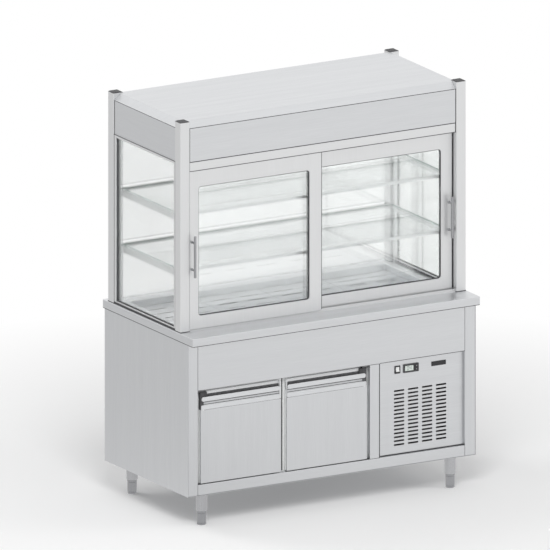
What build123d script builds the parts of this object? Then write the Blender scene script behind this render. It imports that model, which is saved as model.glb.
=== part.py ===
from build123d import *
import os

# A free-standing refrigerated display counter, built as its separate pieces. All sizes are
# millimetres. X runs along the counter from the cupboard end to the unit end, Y from the serving
# side with the sliding doors to the customers' side, and Z up from the floor. The origin is on the
# floor, under the middle of the counter.

# Overall sizes
width = 1500.0
depth = 815.0
work_height = 900.0
total_height = 1885.0
leg_height = 150.0

# General
sheet = 1.5
gap = 0.5
seat_gap = 0.3
running = 0.1

# Worktop and the cold well in it
worktop_edge = 40.0
front_overhang = 42.0
back_overhang = 20.0
well_depth = 165.0
well_end_margin = 85.0
well_front_margin = 180.0
well_back_margin = 103.0
well_foam = 40.0
well_ledge = 14.0
plate_drop = 30.0
plate_count = 4
plate_gap = 2.0
plate_fold = 15.0
plate_slot_rows = 6
plate_slot_length = 100.0
plate_slot_width = 8.0
drain_radius = 14.0
drain_length = 70.0

# Cabinet front, seen from the serving side
frame_depth = 25.0
left_stile = 52.0
right_stile = 56.0
pillar_width = 53.0
unit_bay_width = 443.0
fascia_height = 218.0
bottom_rail = 52.0

# Cold cupboard
cell_wall = 55.0
partition = 20.0
door_side_gap = 14.5
door_middle_gap = 29.0
door_top_gap = 10.0
door_bottom_gap = 4.0
door_thickness = 20.0
door_overlap = 25.0
door_plug_depth = 22.0
pivot_inset = 9.0
pivot_depth = 10.5
hinge_pin_radius = 4.0
hinge_pin_length = 14.0
hinge_bracket_width = 38.0
hinge_bracket_depth = 16.0
gasket_inset = 12.0
gasket_width = 12.0
shelf_levels = 2
shelf_wire = 4.0
shelf_wires = 13

# Door grip profile, from the door's top edge down
grip_recess = 24.0
grip_lip = 21.0
grip_groove = 17.0
grip_band = 21.0
grip_depth = 17.0
grip_lip_thickness = 4.5
grip_wall = 1.5
grip_end_inset = 6.0
grip_round = 9.0

# Unit bay: panel, controls and cooling unit
panel_recess = 18.0
louvre_columns = 4
louvre_rows = 15
louvre_length = 54.0
louvre_height = 8.0
louvre_pitch_x = 73.0
louvre_pitch_z = 18.0
louvre_first_x = 83.0
louvre_first_z = 144.0
control_drop = 45.0
switch_x = 101.0
controller_x = 171.0
plate_x = 316.0
switch_width = 30.0
switch_height = 37.0
controller_width = 80.0
controller_height = 40.0
bezel_overlap = 4.0
key_size = 9.0
compressor_radius = 85.0
compressor_height = 200.0
stub_offset = 20.0
discharge_height = 150.0
suction_height = 110.0
condenser_width = 360.0
condenser_height = 320.0
condenser_depth = 48.0
condenser_fan_radius = 128.0
pipe_radius = 5.0

# Legs
leg_inset_x = 102.0
leg_front_inset = 97.0
leg_back_inset = 91.0
sleeve_radius = 26.0
foot_radius = 22.5
foot_height = 66.0
foot_reserve = 60.0

# Upper display
post_size = 50.0
post_inset_x = 5.0
post_front_inset = 121.0
post_back_inset = 40.0
post_wall = 2.0
cap_height = 5.0
roof_height = 28.0
roof_slope_run = 34.0
roof_drop = 7.0
canopy_height = 158.0
header_height = 47.0
header_depth = 47.0
header_setback = 6.0
slide_door_thickness = 17.0
front_door_setback = 10.0
door_track_pitch = 22.0
slide_door_lift = 7.0
front_door_width = 693.0
rear_door_width = 753.0
front_left_stile = 49.0
front_right_stile = 65.0
rear_stile = 60.0
slide_bottom_rail = 58.0
slide_top_rail = 91.0
glass_corner = 14.0
glass_thickness = 6.0
handle_radius = 6.0
handle_length = 194.0
handle_span = 128.0
handle_height = 351.0
handle_stand = 30.0
handle_end_offset = 14.0
side_frame_width = 14.0
side_frame_depth = 22.0
shelf_heights = (270.0, 530.0)
flap_thickness = 5.0
flap_pin_radius = 3.0
flap_bush = 8.0
evaporator_fan_radius = 98.0
blade_chord = 0.4
blade_count = 5
blade_pitch = 32.0
blade_thickness = 2.0

# Customers' side panel, tray rail and cable gland
panel_run = 18.0
tray_rail_end = 20.0
tray_rail_wall = 2.0
tray_rail_height = 38.0
tray_rail_root = 52.0
tray_hole_radius = 4.5
gland_bore = 5.0
gland_body = 9.5

# Planes that several pieces share
left, right = -width / 2, width / 2
front, back = -depth / 2, depth / 2
under_top = work_height - worktop_edge
cabinet_front = front + front_overhang
cabinet_back = back - back_overhang
cell_face = cabinet_front + frame_depth
fascia_bottom = under_top - fascia_height
rail_top = leg_height + bottom_rail
bay_right = right - right_stile
bay_left = bay_right - unit_bay_width
pillar_left = bay_left - pillar_width
cupboard_left = left + left_stile
door_width = (pillar_left - cupboard_left - 2 * door_side_gap - door_middle_gap) / 2
door_top = fascia_bottom - door_top_gap
door_bottom = rail_top + door_bottom_gap
well_left, well_right = left + well_end_margin, right - well_end_margin
well_front, well_back = front + well_front_margin, back - well_back_margin
well_floor = work_height - well_depth
cell_top = well_floor - sheet - well_foam
cell_right = bay_left - 23
post_front = front + post_front_inset
post_back = back - post_back_inset
post_top = total_height - cap_height
roof_top = post_top - roof_drop + 5
roof_base = roof_top - roof_height
canopy_base = roof_base - canopy_height
inner_left = left + post_inset_x + post_size
inner_right = right - post_inset_x - post_size
canopy_front = post_front + 4
canopy_back = post_back - 2
pipe_x = right - post_inset_x - post_size / 2
pipe_y = post_back - post_size / 2
flap_y = post_back - post_size / 2 + 2


def block(x0, x1, y0, y1, z0, z1):
    """A rectangular solid between two opposite corners."""
    return Pos((x0 + x1) / 2, (y0 + y1) / 2, (z0 + z1) / 2) * Box(x1 - x0, y1 - y0, z1 - z0)


def rod_x(x0, x1, y, z, radius):
    """A round bar along X."""
    return Pos((x0 + x1) / 2, y, z) * Rot(0, 90, 0) * Cylinder(radius, x1 - x0)


def rod_y(x, y0, y1, z, radius):
    """A round bar along Y."""
    return Pos(x, (y0 + y1) / 2, z) * Rot(90, 0, 0) * Cylinder(radius, y1 - y0)


def rod_z(x, y, z0, z1, radius):
    """A round bar along Z."""
    return Pos(x, y, (z0 + z1) / 2) * Cylinder(radius, z1 - z0)


def folded_front(x0, x1, z0, z1, y, run):
    """A sheet facing the serving side, with its four edges folded back by run."""
    outer = block(x0, x1, y, y + run, z0, z1)
    return outer - block(x0 + sheet, x1 - sheet, y + sheet, y + run + 1, z0 + sheet, z1 - sheet)


def rounded_plate_y(x0, x1, z0, z1, y0, y1, radius):
    """An upright plate facing Y, with its four corners rounded."""
    outline = RectangleRounded(x1 - x0, z1 - z0, radius)
    solid = extrude(outline, (y1 - y0) / 2, both=True)
    return Pos((x0 + x1) / 2, (y0 + y1) / 2, (z0 + z1) / 2) * Rot(90, 0, 0) * solid


def save(name, solids):
    """Writes one named piece, or one group of equal pieces, to its own file."""
    export_step(Compound(children=list(solids)), f"parts/{name}.step")


def worktop():
    """The folded top sheet with a hole for the well, and the basin welded into it from flat sheets."""
    x0, x1, y0, y1 = well_left - sheet, well_right + sheet, well_front - sheet, well_back + sheet
    under_sheet = work_height - sheet
    top = block(left, right, front, back, under_top, work_height)
    top -= block(left + sheet, right - sheet, front + sheet, back - sheet, under_top - 1, under_sheet)
    top -= block(x0, x1, y0, y1, under_top, work_height + 1)
    top -= pipe_slot(under_top, work_height + 1)
    floor = block(x0, x1, y0, y1, well_floor - sheet, well_floor)
    floor -= rod_z(drain_x(), drain_y(), well_floor - 2 * sheet, well_floor + 1, drain_radius)
    shelf = work_height - plate_drop - sheet
    return [
        top,
        floor,
        block(x0, x1, y0, well_front, well_floor, work_height),
        block(x0, x1, well_back, y1, well_floor, work_height),
        block(x0, well_left, well_front, well_back, well_floor, work_height),
        block(well_right, x1, well_front, well_back, well_floor, work_height),
        block(well_left, well_right, well_front, well_front + well_ledge, shelf - sheet, shelf),
        block(well_left, well_right, well_back - well_ledge, well_back, shelf - sheet, shelf),
    ]


def drain_x():
    """The drain is over the unit bay."""
    return bay_left + 70


def drain_y():
    """The drain is on the well's centre line."""
    return (well_front + well_back) / 2


def pipe_slot(z0, z1):
    """The slot that lets the two pipes up into the rear post."""
    return block(pipe_x - 10, pipe_x + 10, pipe_y - 20, pipe_y + 20, z0, z1)


def insulation():
    """Foam boards under the top sheet and round the basin."""
    x0, x1 = well_left - sheet, well_right + sheet
    y0, y1 = well_front - sheet, well_back + sheet
    z0, z1 = under_top, work_height - sheet
    left_in, right_in, front_in, back_in = left + sheet, right - sheet, front + sheet, back - sheet
    boards = [
        block(left_in, right_in, front_in, y0, z0, z1),
        block(left_in, right_in, y1, back_in, z0, z1) - pipe_slot(z0 - 1, z1 + 1),
        block(left_in, x0, y0, y1, z0, z1),
        block(x1, right_in, y0, y1, z0, z1),
    ]
    low = well_floor - sheet
    x2, x3, y2, y3 = x0 - well_foam, x1 + well_foam, y0 - well_foam, y1 + well_foam
    drain_hole = rod_z(drain_x(), drain_y(), cell_top - 1, low + 1, drain_radius + 3)
    boards += [
        block(x2, x3, y2, y0, low, z0),
        block(x2, x3, y1, y3, low, z0),
        block(x2, x0, y0, y1, low, z0),
        block(x1, x3, y0, y1, low, z0),
        block(x2, x3, y2, y3, cell_top, low) - drain_hole,
    ]
    return boards


def base_plates():
    """The slotted plates that close the well, each with its two long edges turned down."""
    pitch = (well_right - well_left) / plate_count
    top = work_height - plate_drop
    y0, y1 = well_front + plate_gap, well_back - plate_gap
    plates = []
    for number in range(plate_count):
        x0 = well_left + number * pitch + plate_gap / 2
        x1 = x0 + pitch - plate_gap
        plate = block(x0, x1, y0, y1, top - sheet, top)
        fold0, fold1 = y0 + 2 * well_ledge, y1 - 2 * well_ledge
        for edge in (x0, x1 - sheet):
            plate += block(edge, edge + sheet, fold0, fold1, top - plate_fold, top - sheet)
        row_pitch = (y1 - y0) / (plate_slot_rows + 1)
        for row in range(plate_slot_rows):
            y = y0 + (row + 1) * row_pitch
            for side in (0.27, 0.73):
                x = x0 + side * (x1 - x0)
                half, wide = plate_slot_length / 2, plate_slot_width / 2
                plate -= block(x - half, x + half, y - wide, y + wide, top - 2 * sheet, top + 1)
        plates.append(plate)
    return plates


def drain_pipe():
    """The drain stub with its flange on the basin floor."""
    x, y = drain_x(), drain_y()
    stub = rod_z(x, y, well_floor - sheet - drain_length, well_floor, drain_radius - running)
    stub += rod_z(x, y, well_floor, well_floor + 2, drain_radius + 10)
    stub -= rod_z(x, y, well_floor - sheet - drain_length - 1, well_floor + 3, drain_radius - 3)
    return [stub]


def cabinet_shell():
    """The two side sheets and the floor sheet between them."""
    sides = [
        block(left, left + sheet, cabinet_front, cabinet_back, leg_height, under_top),
        block(right - sheet, right, cabinet_front, cabinet_back, leg_height, under_top),
    ]
    floor = block(left + sheet, right - sheet, cabinet_front, cabinet_back, leg_height, leg_height + sheet)
    return sides + [floor]


def tray_rail_holes():
    """Middles of the four holes of the rear rail, along X, and their height."""
    pitch = width * 4 / 15
    z = under_top - 20
    return [((number - 1.5) * pitch, z) for number in range(4)]


def customer_panel():
    """The rear sheet with folded edges, and the hollow rail on it for a tray slide."""
    x0, x1, z0, z1 = left + sheet, right - sheet, leg_height + sheet, under_top
    y0, y1 = cabinet_back - panel_run, cabinet_back
    panel = block(x0, x1, y0, y1, z0, z1)
    panel -= block(x0 + sheet, x1 - sheet, y0 - 1, y1 - sheet, z0 + sheet, z1 - sheet)
    panel -= rod_y(gland_x(), y0, y1 + 1, gland_z(), gland_body + gap)
    wall = tray_rail_wall
    outer_low, inner_low = under_top - tray_rail_height, under_top - tray_rail_root
    corners = [(y1, under_top), (back, under_top), (back, outer_low), (y1, inner_low)]
    inner = [
        (y1 - 1, under_top - wall),
        (back - wall, under_top - wall),
        (back - wall, outer_low + wall / 2),
        (y1 - 1, inner_low + wall),
    ]
    x0, x1 = left + tray_rail_end, right - tray_rail_end
    rail = prism_x(corners, x0, x1) - prism_x(inner, x0 + wall, x1 - wall)
    for x, z in tray_rail_holes():
        rail -= rod_y(x, back - 2 * wall, back + 1, z, tray_hole_radius)
    return [panel, rail]


def prism_x(corners, x0, x1):
    """A straight-sided solid along X with the given outline in Y and Z."""
    face = make_face(Polyline([(x0, y, z) for y, z in corners], close=True))
    return extrude(face, x1 - x0, dir=(1, 0, 0))


def gland_x():
    """The cable gland is behind the unit bay."""
    return bay_right - 60


def gland_z():
    """The cable gland is just above the cabinet floor."""
    return leg_height + 70


def front_frame():
    """The two stiles, the pillar, the bottom rail and the upper fascia, all folded sheet."""
    y, low = cabinet_front, leg_height + sheet
    return [
        folded_front(left + sheet, cupboard_left, low, under_top, y, frame_depth),
        folded_front(bay_right, right - sheet, low, under_top, y, frame_depth),
        folded_front(pillar_left, bay_left, rail_top, fascia_bottom, y, frame_depth),
        folded_front(cupboard_left, bay_right, low, rail_top, y, frame_depth),
        folded_front(cupboard_left, bay_right, fascia_bottom, under_top, y, frame_depth),
    ]


def door_spans():
    """The left and right end of each cupboard door."""
    first = cupboard_left + door_side_gap
    second = first + door_width + door_middle_gap
    return [(first, first + door_width), (second, second + door_width)]


def cell_openings():
    """The left and right edge of each cupboard opening."""
    return [(x0 + door_overlap, x1 - door_overlap) for x0, x1 in door_spans()]


def cell_inside():
    """The cold cell's inner faces: left, right, front, back, floor and ceiling."""
    y1 = cabinet_back - panel_run - cell_wall
    return (
        left + sheet + cell_wall,
        cell_right - cell_wall,
        cell_face + cell_wall / 2,
        y1,
        leg_height + sheet + cell_wall - 5,
        door_top + 6,
    )


def cold_cell():
    """Foam-filled walls, partition and the five bars of the front frame that the doors close on."""
    x0, x1, y0, y1, z0, z1 = cell_inside()
    out_left, out_right = left + sheet, cell_right
    low, high, rear = leg_height + sheet, cell_top, cabinet_back - panel_run
    (a0, a1), (b0, b1) = cell_openings()
    middle = (a1 + b0) / 2
    open_low, open_high = door_bottom + door_overlap, door_top - door_overlap
    walls = [
        block(out_left, x0, y0, rear, z0, z1),
        block(x1, out_right, y0, rear, z0, z1),
        block(x0, x1, y1, rear, z0, z1),
        block(out_left, out_right, y0, rear, low, z0),
        block(out_left, out_right, y0, rear, z1, high),
        block(middle - partition / 2, middle + partition / 2, y0, y1, z0, z1),
    ]
    bars = [
        block(out_left, a0, cell_face, y0, open_low, open_high),
        block(a1, b0, cell_face, y0, open_low, open_high),
        block(b1, out_right, cell_face, y0, open_low, open_high),
        block(out_left, out_right, cell_face, y0, low, open_low),
        block(out_left, out_right, cell_face, y0, open_high, high),
    ]
    return walls + bars


def cell_bays():
    """For each bay: its two side faces, and the edges of the door opening in front of it."""
    x0, x1 = cell_inside()[:2]
    (a0, a1), (b0, b1) = cell_openings()
    middle = (a1 + b0) / 2
    return [(x0, middle - partition / 2, a0, a1), (middle + partition / 2, x1, b0, b1)]


def shelf_levels_z():
    """Heights of the shelf runners in the cold cell."""
    z0, z1 = cell_inside()[4:]
    pitch = (z1 - z0) / (shelf_levels + 1)
    return [z0 + pitch * (number + 1) for number in range(shelf_levels)]


def shelf_runners():
    """Folded angle runners on the side faces of each bay, wide enough to reach the door opening."""
    y0, y1 = cell_inside()[2:4]
    runners = []
    for side0, side1, edge0, edge1 in cell_bays():
        for z in shelf_levels_z():
            for wall, tip in ((side0, edge0 + 14), (side1, edge1 - 14)):
                inner = wall + sheet if tip > wall else wall - sheet
                web = block(min(wall, inner), max(wall, inner), y0 + 20, y1 - 5, z - 25, z)
                ledge = block(min(wall, tip), max(wall, tip), y0 + 20, y1 - 5, z - sheet, z)
                runners.append(web + ledge)
    return runners


def cell_shelves():
    """Wire shelves: a square ring of bar with cross wires, one on each pair of runners."""
    y0, y1 = cell_inside()[2:4]
    y0, y1 = y0 + 25, y1 - 15
    shelves = []
    for _, _, edge0, edge1 in cell_bays():
        x0, x1 = edge0 + 3, edge1 - 3
        for z in shelf_levels_z():
            ring = block(x0, x1, y0, y1, z, z + 2 * shelf_wire)
            bar = 2 * shelf_wire
            ring -= block(x0 + bar, x1 - bar, y0 + bar, y1 - bar, z - 1, z + 2 * bar)
            pitch = (x1 - x0) / (shelf_wires + 1)
            for number in range(shelf_wires):
                x = x0 + (number + 1) * pitch
                low = z + shelf_wire
                ring += block(x - 2, x + 2, y0 + bar, y1 - bar, low, low + shelf_wire)
            shelves.append(ring)
    return shelves


def hinge_pivots():
    """The upright pivot line of each cupboard door, and which way its door lies from it."""
    (a0, _), (_, b1) = door_spans()
    y = cabinet_front + pivot_depth
    return [(a0 + pivot_inset, y, 1), (b1 - pivot_inset, y, -1)]


def grip_spans():
    """The left and right end of each door's grip pocket, which stops short of the pivot."""
    (a0, a1), (b0, b1) = door_spans()
    return [(a0 + 2 * pivot_inset, a1 - sheet), (b0 + sheet, b1 - 2 * pivot_inset)]


def hinge_brackets():
    """Top and bottom pivot brackets, each with a pin that stands in the door."""
    brackets = []
    y0 = cabinet_front + 2
    for x, y, way in hinge_pivots():
        edge = x - way * (pivot_inset + door_side_gap)
        x0, x1 = sorted((edge, edge + way * hinge_bracket_width))
        for z0, z1, tip in (
            (door_top + 1.5, fascia_bottom, door_top - hinge_pin_length),
            (rail_top, door_bottom - 1.5, door_bottom + hinge_pin_length),
        ):
            plate = block(x0, x1, y0, y0 + hinge_bracket_depth, z0, z1)
            pin = rod_z(x, y, min(z0, tip), max(z1, tip), hinge_pin_radius)
            brackets.append(plate + pin)
    return brackets


def cupboard_door(number):
    """The foamed door leaf with its inner plug, cut back for the grip and bored for the pins."""
    x0, x1 = door_spans()[number]
    pocket0, pocket1 = grip_spans()[number]
    pivot_x, pivot_y, _ = hinge_pivots()[number]
    y0, y1 = cabinet_front, cabinet_front + door_thickness
    inset = door_overlap + 3
    leaf = block(x0, x1, y0, y1, door_bottom, door_top)
    leaf += block(x0 + inset, x1 - inset, y1, y1 + door_plug_depth, door_bottom + inset, door_top - inset)
    low = door_top - grip_recess - grip_lip - grip_groove - grip_band
    leaf -= block(x0 - 1, x1 + 1, y0 - 1, y0 + grip_lip_thickness, low, door_top + 1)
    leaf -= block(pocket0, pocket1, y0 - 1, y0 + grip_depth, low, door_top + 1)
    bore = hinge_pin_radius + running
    leaf -= rod_z(pivot_x, pivot_y, door_top - hinge_pin_length - 1, door_top + 1, bore)
    leaf -= rod_z(pivot_x, pivot_y, door_bottom - 1, door_bottom + hinge_pin_length + 1, bore)
    return [leaf]


def door_grip(number):
    """The full-width grip: a hooked lip with a finger channel behind it, a groove and a lower band."""
    x0, x1 = door_spans()[number]
    pocket0, pocket1 = grip_spans()[number]
    y0, y1 = cabinet_front, cabinet_front + grip_depth
    wall = y1 - grip_wall
    lip_top = door_top - grip_recess
    lip_low = lip_top - grip_lip
    band_top = lip_low - grip_groove
    band_low = band_top - grip_band
    a0, a1 = x0 + grip_end_inset, x1 - grip_end_inset
    face = y0 + grip_lip_thickness
    grip = block(pocket0, pocket1, wall, y1, band_low, door_top)
    grip += rounded_plate_y(a0, a1, lip_low, lip_top, y0, face, grip_round)
    grip += block(pocket0, pocket1 - grip_end_inset, face, wall, lip_low, lip_low + 3)
    grip += rounded_plate_y(a0 - 3, a1 + 3, band_low, band_top, y0, face, grip_round / 2)
    return [grip + block(pocket0, pocket1 - grip_end_inset, face, wall, band_low, band_top)]


def door_gasket(number):
    """The square ring of the magnetic seal on the back of the leaf."""
    x0, x1 = door_spans()[number]
    y0 = cabinet_front + door_thickness
    y1 = cell_face - seat_gap
    a0, a1 = x0 + gasket_inset, x1 - gasket_inset
    z0, z1 = door_bottom + gasket_inset, door_top - gasket_inset
    ring = block(a0, a1, y0, y1, z0, z1)
    w = gasket_width
    return [ring - block(a0 + w, a1 - w, y0 - 1, y1 + 1, z0 + w, z1 - w)]


def control_z():
    """The height of the row of controls."""
    return fascia_bottom - control_drop


def panel_face():
    """The unit panel's front plane."""
    return cabinet_front + panel_recess


def louvre_places():
    """The left end and the middle height of each louvre slot."""
    first_z = fascia_bottom - louvre_first_z
    xs = [bay_left + louvre_first_x + column * louvre_pitch_x for column in range(louvre_columns)]
    return [(x, first_z - row * louvre_pitch_z) for x in xs for row in range(louvre_rows)]


def unit_panel():
    """The service panel with folded edges, its louvre slots, and the holes for the controls."""
    y, z = panel_face(), control_z()
    panel = folded_front(bay_left + gap, bay_right - gap, rail_top + gap, fascia_bottom - gap, y, 15)
    slot = RectangleRounded(louvre_length, louvre_height, 0.45 * louvre_height)
    slots = Sketch() + [Pos(x + louvre_length / 2, slot_z) * slot for x, slot_z in louvre_places()]
    panel -= Pos(0, y - 1, 0) * Rot(90, 0, 0) * extrude(slots, -(sheet + 2))
    cutouts = (switch_x, switch_width, switch_height), (controller_x, controller_width, controller_height)
    for middle, control_width, control_height in cutouts:
        x, w, h = bay_left + middle, control_width / 2 - bezel_overlap, control_height / 2 - bezel_overlap
        panel -= block(x - w, x + w, y - 1, y + sheet + 1, z - h, z + h)
    return [panel]


def switch_housing():
    """The bezel and open box that hold the rocker."""
    x, y, z = bay_left + switch_x, panel_face(), control_z()
    w, h = switch_width / 2, switch_height / 2
    housing = rounded_plate_y(x - w, x + w, z - h, z + h, y - 3, y, 3)
    housing += block(x - w + 4, x + w - 4, y, y + 24, z - h + 4, z + h - 4)
    housing -= block(x - w + 6, x + w - 6, y - 4, y + 22, z - h + 6, z + h - 6)
    return [housing - rod_x(x - w, x + w, y + 8, z, 1.5 + running)]


def switch_rocker():
    """The two-position rocker on its cross pin, tipped to its off side."""
    x, y, z = bay_left + switch_x, panel_face(), control_z()
    w, h = switch_width / 2 - 6 - gap, switch_height / 2 - 8
    outline = [(y - 5, z - h), (y - 2, z), (y - 5, z + h), (y + 10, z + h * 0.6), (y + 10, z - h * 0.6)]
    rocker = prism_x(outline, x - w, x + w)
    rocker += rod_x(x - w - 1.5, x + w + 1.5, y + 8, z, 1.5)
    pivot = Pos(x, y + 8, z)
    return [pivot * Rot(-9, 0, 0) * Pos(-x, -y - 8, -z) * rocker]


def controller_keys():
    """Middle of each controller key, in X and Z."""
    x, z = bay_left + controller_x + controller_width / 2 - 13, control_z()
    return [(x, z + 8), (x, z - 8)]


def controller_case():
    """The digital controller: a bezel with a sunk display, and its box behind the panel."""
    x, y, z = bay_left + controller_x, panel_face(), control_z()
    w, h = controller_width / 2, controller_height / 2
    case = rounded_plate_y(x - w, x + w, z - h, z + h, y - 4, y, 3)
    case += block(x - w + 4, x + w - 4, y, y + 45, z - h + 4, z + h - 4)
    case -= block(x - w + 8, x + w - 28, y - 5, y - 3, z - 12, z + 12)
    for key_x, key_z in controller_keys():
        half = key_size / 2 + 0.25
        case -= block(key_x - half, key_x + half, y - 5, y + 3, key_z - half, key_z + half)
    return [case]


def controller_key(key_x, key_z):
    """One key, standing a little proud of the bezel."""
    y, half = panel_face(), key_size / 2
    return [rounded_plate_y(key_x - half, key_x + half, key_z - half, key_z + half, y - 6, y + 1.5, 2)]


def blank_plate():
    """The bare plate beside the controls."""
    x, y, z = bay_left + plate_x, panel_face(), control_z() + 3
    return [rounded_plate_y(x - 38, x + 38, z - 11, z + 11, y - 1, y, 2)]


def unit_centre():
    """The middle of the cooling unit, along X."""
    return (bay_left + bay_right) / 2


def compressor_place():
    """The compressor's centre in X and Y."""
    return unit_centre(), cabinet_front + 400


def compressor():
    """The sealed pot with its base plate and the two pipe stubs."""
    x, y = compressor_place()
    floor = leg_height + sheet + 12
    r, h = compressor_radius, compressor_height
    pot = rod_z(x, y, floor + 4, floor + 4 + h, r)
    pot = fillet(pot.edges().filter_by(GeomType.CIRCLE), 30)
    pot += rod_z(x, y, floor + h / 2 - 4, floor + h / 2 + 8, r + 4)
    pot += block(x - 110, x + 110, y - 85, y + 85, floor, floor + 12)
    for offset, height in ((-stub_offset, discharge_height), (stub_offset, suction_height)):
        pot += rod_x(x, x + r + 12, y + offset, floor + height, pipe_radius + 2)
    return [pot]


def compressor_mounts():
    """Four rubber feet under the compressor's base plate."""
    x, y = compressor_place()
    floor = leg_height + sheet
    return [rod_z(x + i * 92, y + j * 67, floor, floor + 12, 15) for i in (-1, 1) for j in (-1, 1)]


def finned_coil(x0, x1, y0, y1, z0, z1, foot):
    """A coil block between two end plates that stand foot below it."""
    coil = block(x0, x1, y0, y1, z0, z1)
    for x in (x0 - 2, x1):
        coil += block(x, x + 2, y0, y1, z0 - foot, z1 + 2)
    for level in (0.25, 0.5, 0.75):
        z = z0 + level * (z1 - z0)
        coil += rod_x(x0 - 12, x1 + 12, (y0 + y1) / 2, z, pipe_radius + 1)
    return coil


def condenser_box():
    """The condenser's block: left, right, front, back, bottom and top."""
    x, y, z = unit_centre(), panel_face() + 55, leg_height + sheet + 10
    half = condenser_width / 2
    return x - half, x + half, y, y + condenser_depth, z, z + condenser_height


def fan_axis():
    """The condenser fan's axis: its X and Z, and the plane of the shroud."""
    x0, x1, _, y1, z0, z1 = condenser_box()
    return (x0 + x1) / 2, y1, (z0 + z1) / 2


def fan_shroud():
    """The plate on the back of the condenser with the ring round the fan."""
    x0, x1, _, y1, z0, z1 = condenser_box()
    x, y, z = fan_axis()
    inner = condenser_fan_radius + 6
    shroud = block(x0, x1, y, y + 2, z0, z1) + rod_y(x, y, y + 38, z, inner + 2)
    return [shroud - rod_y(x, y - 1, y + 39, z, inner)]


def fan_motor():
    """The motor on its three arms across the shroud ring, with its shaft towards the condenser."""
    x, y, z = fan_axis()
    reach = condenser_fan_radius + 8
    motor = rod_y(x, y + 38, y + 88, z, 36)
    for number in range(3):
        arm = block(0, reach, 0, 4, -7, 7)
        motor += Pos(x, y + 38, z) * Rot(0, 120 * number + 30, 0) * arm
    return [motor + rod_y(x, y + 8, y + 38, z, 4)]


def axial_fan(radius, hub, thick, bore):
    """A fan on the Z axis: a hub with a through bore and five pitched blades."""
    fan = Cylinder(hub, thick)
    blade = Rot(blade_pitch, 0, 0) * Box(radius - hub, blade_chord * radius, blade_thickness)
    for number in range(blade_count):
        fan += Rot(0, 0, 360 / blade_count * number) * Pos((hub + radius) / 2 - 3, 0, 0) * blade
    rim = Cylinder(radius, 4 * thick) - Cylinder(bore, 5 * thick)
    return fan & rim


def condenser_fan():
    """The fan that draws air in through the louvres and the condenser."""
    x, y, z = fan_axis()
    return [Pos(x, y + 22, z) * Rot(90, 0, 0) * axial_fan(condenser_fan_radius, 26, 22, 4 + running)]


def coil_box():
    """The canopy coil's block: left, right, front, back, bottom and top."""
    z = canopy_base + 10
    return width * -0.1, width * 0.4, depth * 0.2, depth * 0.2 + 140, z, z + 90


def evaporator_coils():
    """The coil in the canopy, and the one hung under the ceiling of the cold cell."""
    canopy = finned_coil(*coil_box(), 8.5)
    x0, x1, _, y1, _, z1 = cell_inside()
    middle = cell_bays()[0][1]
    hung = block(x0 + 40, middle - 40, y1 - 110, y1 - 10, z1 - 52, z1 - 6)
    for x in (x0 + 38, middle - 40):
        hung += block(x, x + 2, y1 - 110, y1 - 10, z1 - 52, z1)
    return [canopy, hung]


def refrigerant_lines():
    """Three copper lines: compressor to condenser, and the two that run up the rear post to the coil."""
    x, y = compressor_place()
    floor = leg_height + sheet + 12
    stub = x + compressor_radius + 12
    _, side, y0, y1, z0, z1 = condenser_box()
    side, mid = side + 12, (y0 + y1) / 2
    high, low = z0 + 0.75 * (z1 - z0), z0 + 0.25 * (z1 - z0)
    bend = bay_right - 20
    _, coil, cy0, cy1, cz0, cz1 = coil_box()
    coil, coil_y = coil + 12, (cy0 + cy1) / 2
    top, under = cz0 + 0.75 * (cz1 - cz0), cz0 + 0.25 * (cz1 - cz0)
    rise_a, rise_b = pipe_y - 10, pipe_y + 10
    turn = coil + 40
    hot, cold = floor + discharge_height, floor + suction_height
    hot_y, cold_y = y - stub_offset, y + stub_offset
    discharge = [
        (stub, hot_y, hot),
        (bend, hot_y, hot),
        (bend, hot_y, high),
        (bend, mid, high),
        (side, mid, high),
    ]
    liquid = [
        (side, mid, low),
        (pipe_x, mid, low),
        (pipe_x, rise_b, low),
        (pipe_x, rise_b, under),
        (turn, rise_b, under),
        (turn, coil_y, under),
        (coil, coil_y, under),
    ]
    suction = [
        (stub, cold_y, cold),
        (pipe_x, cold_y, cold),
        (pipe_x, rise_a, cold),
        (pipe_x, rise_a, top),
        (turn, rise_a, top),
        (turn, coil_y, top),
        (coil, coil_y, top),
    ]
    return [tube(route, pipe_radius, 4 * pipe_radius) for route in (discharge, liquid, suction)]


def tube(points, radius, bend):
    """A round line through the points, with every corner bent to an arc that its runs allow."""
    vectors = [Vector(*point) for point in points]
    kept = [vectors[0]]
    for point in vectors[1:]:
        if (point - kept[-1]).length > 1:
            kept.append(point)
    runs = [(b - a).length for a, b in zip(kept, kept[1:])]
    radii = [min(bend, 0.45 * min(pair)) for pair in zip(runs, runs[1:])]
    path = FilletPolyline(*kept, radius=radii)
    section = Plane(origin=path @ 0, z_dir=path % 0) * Circle(radius)
    return sweep(section, path=path)


def cable_gland():
    """The gland in the rear sheet through which a supply cable would leave."""
    y = cabinet_back
    gland = rod_y(gland_x(), y, y + 6, gland_z(), 15) + rod_y(gland_x(), y - 22, y, gland_z(), gland_body)
    gland += rod_y(gland_x(), y + 6, y + 16, gland_z(), 11)
    return gland - rod_y(gland_x(), y - 30, y + 20, gland_z(), gland_bore)


def leg_places():
    """The centre of each leg: front left, front right, back left and back right."""
    y0, y1 = front + leg_front_inset, back - leg_back_inset
    return [(x, y) for y in (y0, y1) for x in (left + leg_inset_x, right - leg_inset_x)]


def leg_sleeves():
    """The leg tubes with the flange that bolts under the cabinet floor."""
    sleeves = []
    for x, y in leg_places():
        sleeve = rod_z(x, y, foot_height, leg_height, sleeve_radius)
        sleeve += rod_z(x, y, leg_height - 4, leg_height, sleeve_radius + 16)
        sleeves.append(sleeve - rod_z(x, y, foot_height - 1, leg_height - 6, foot_radius + running))
    return sleeves


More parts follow.
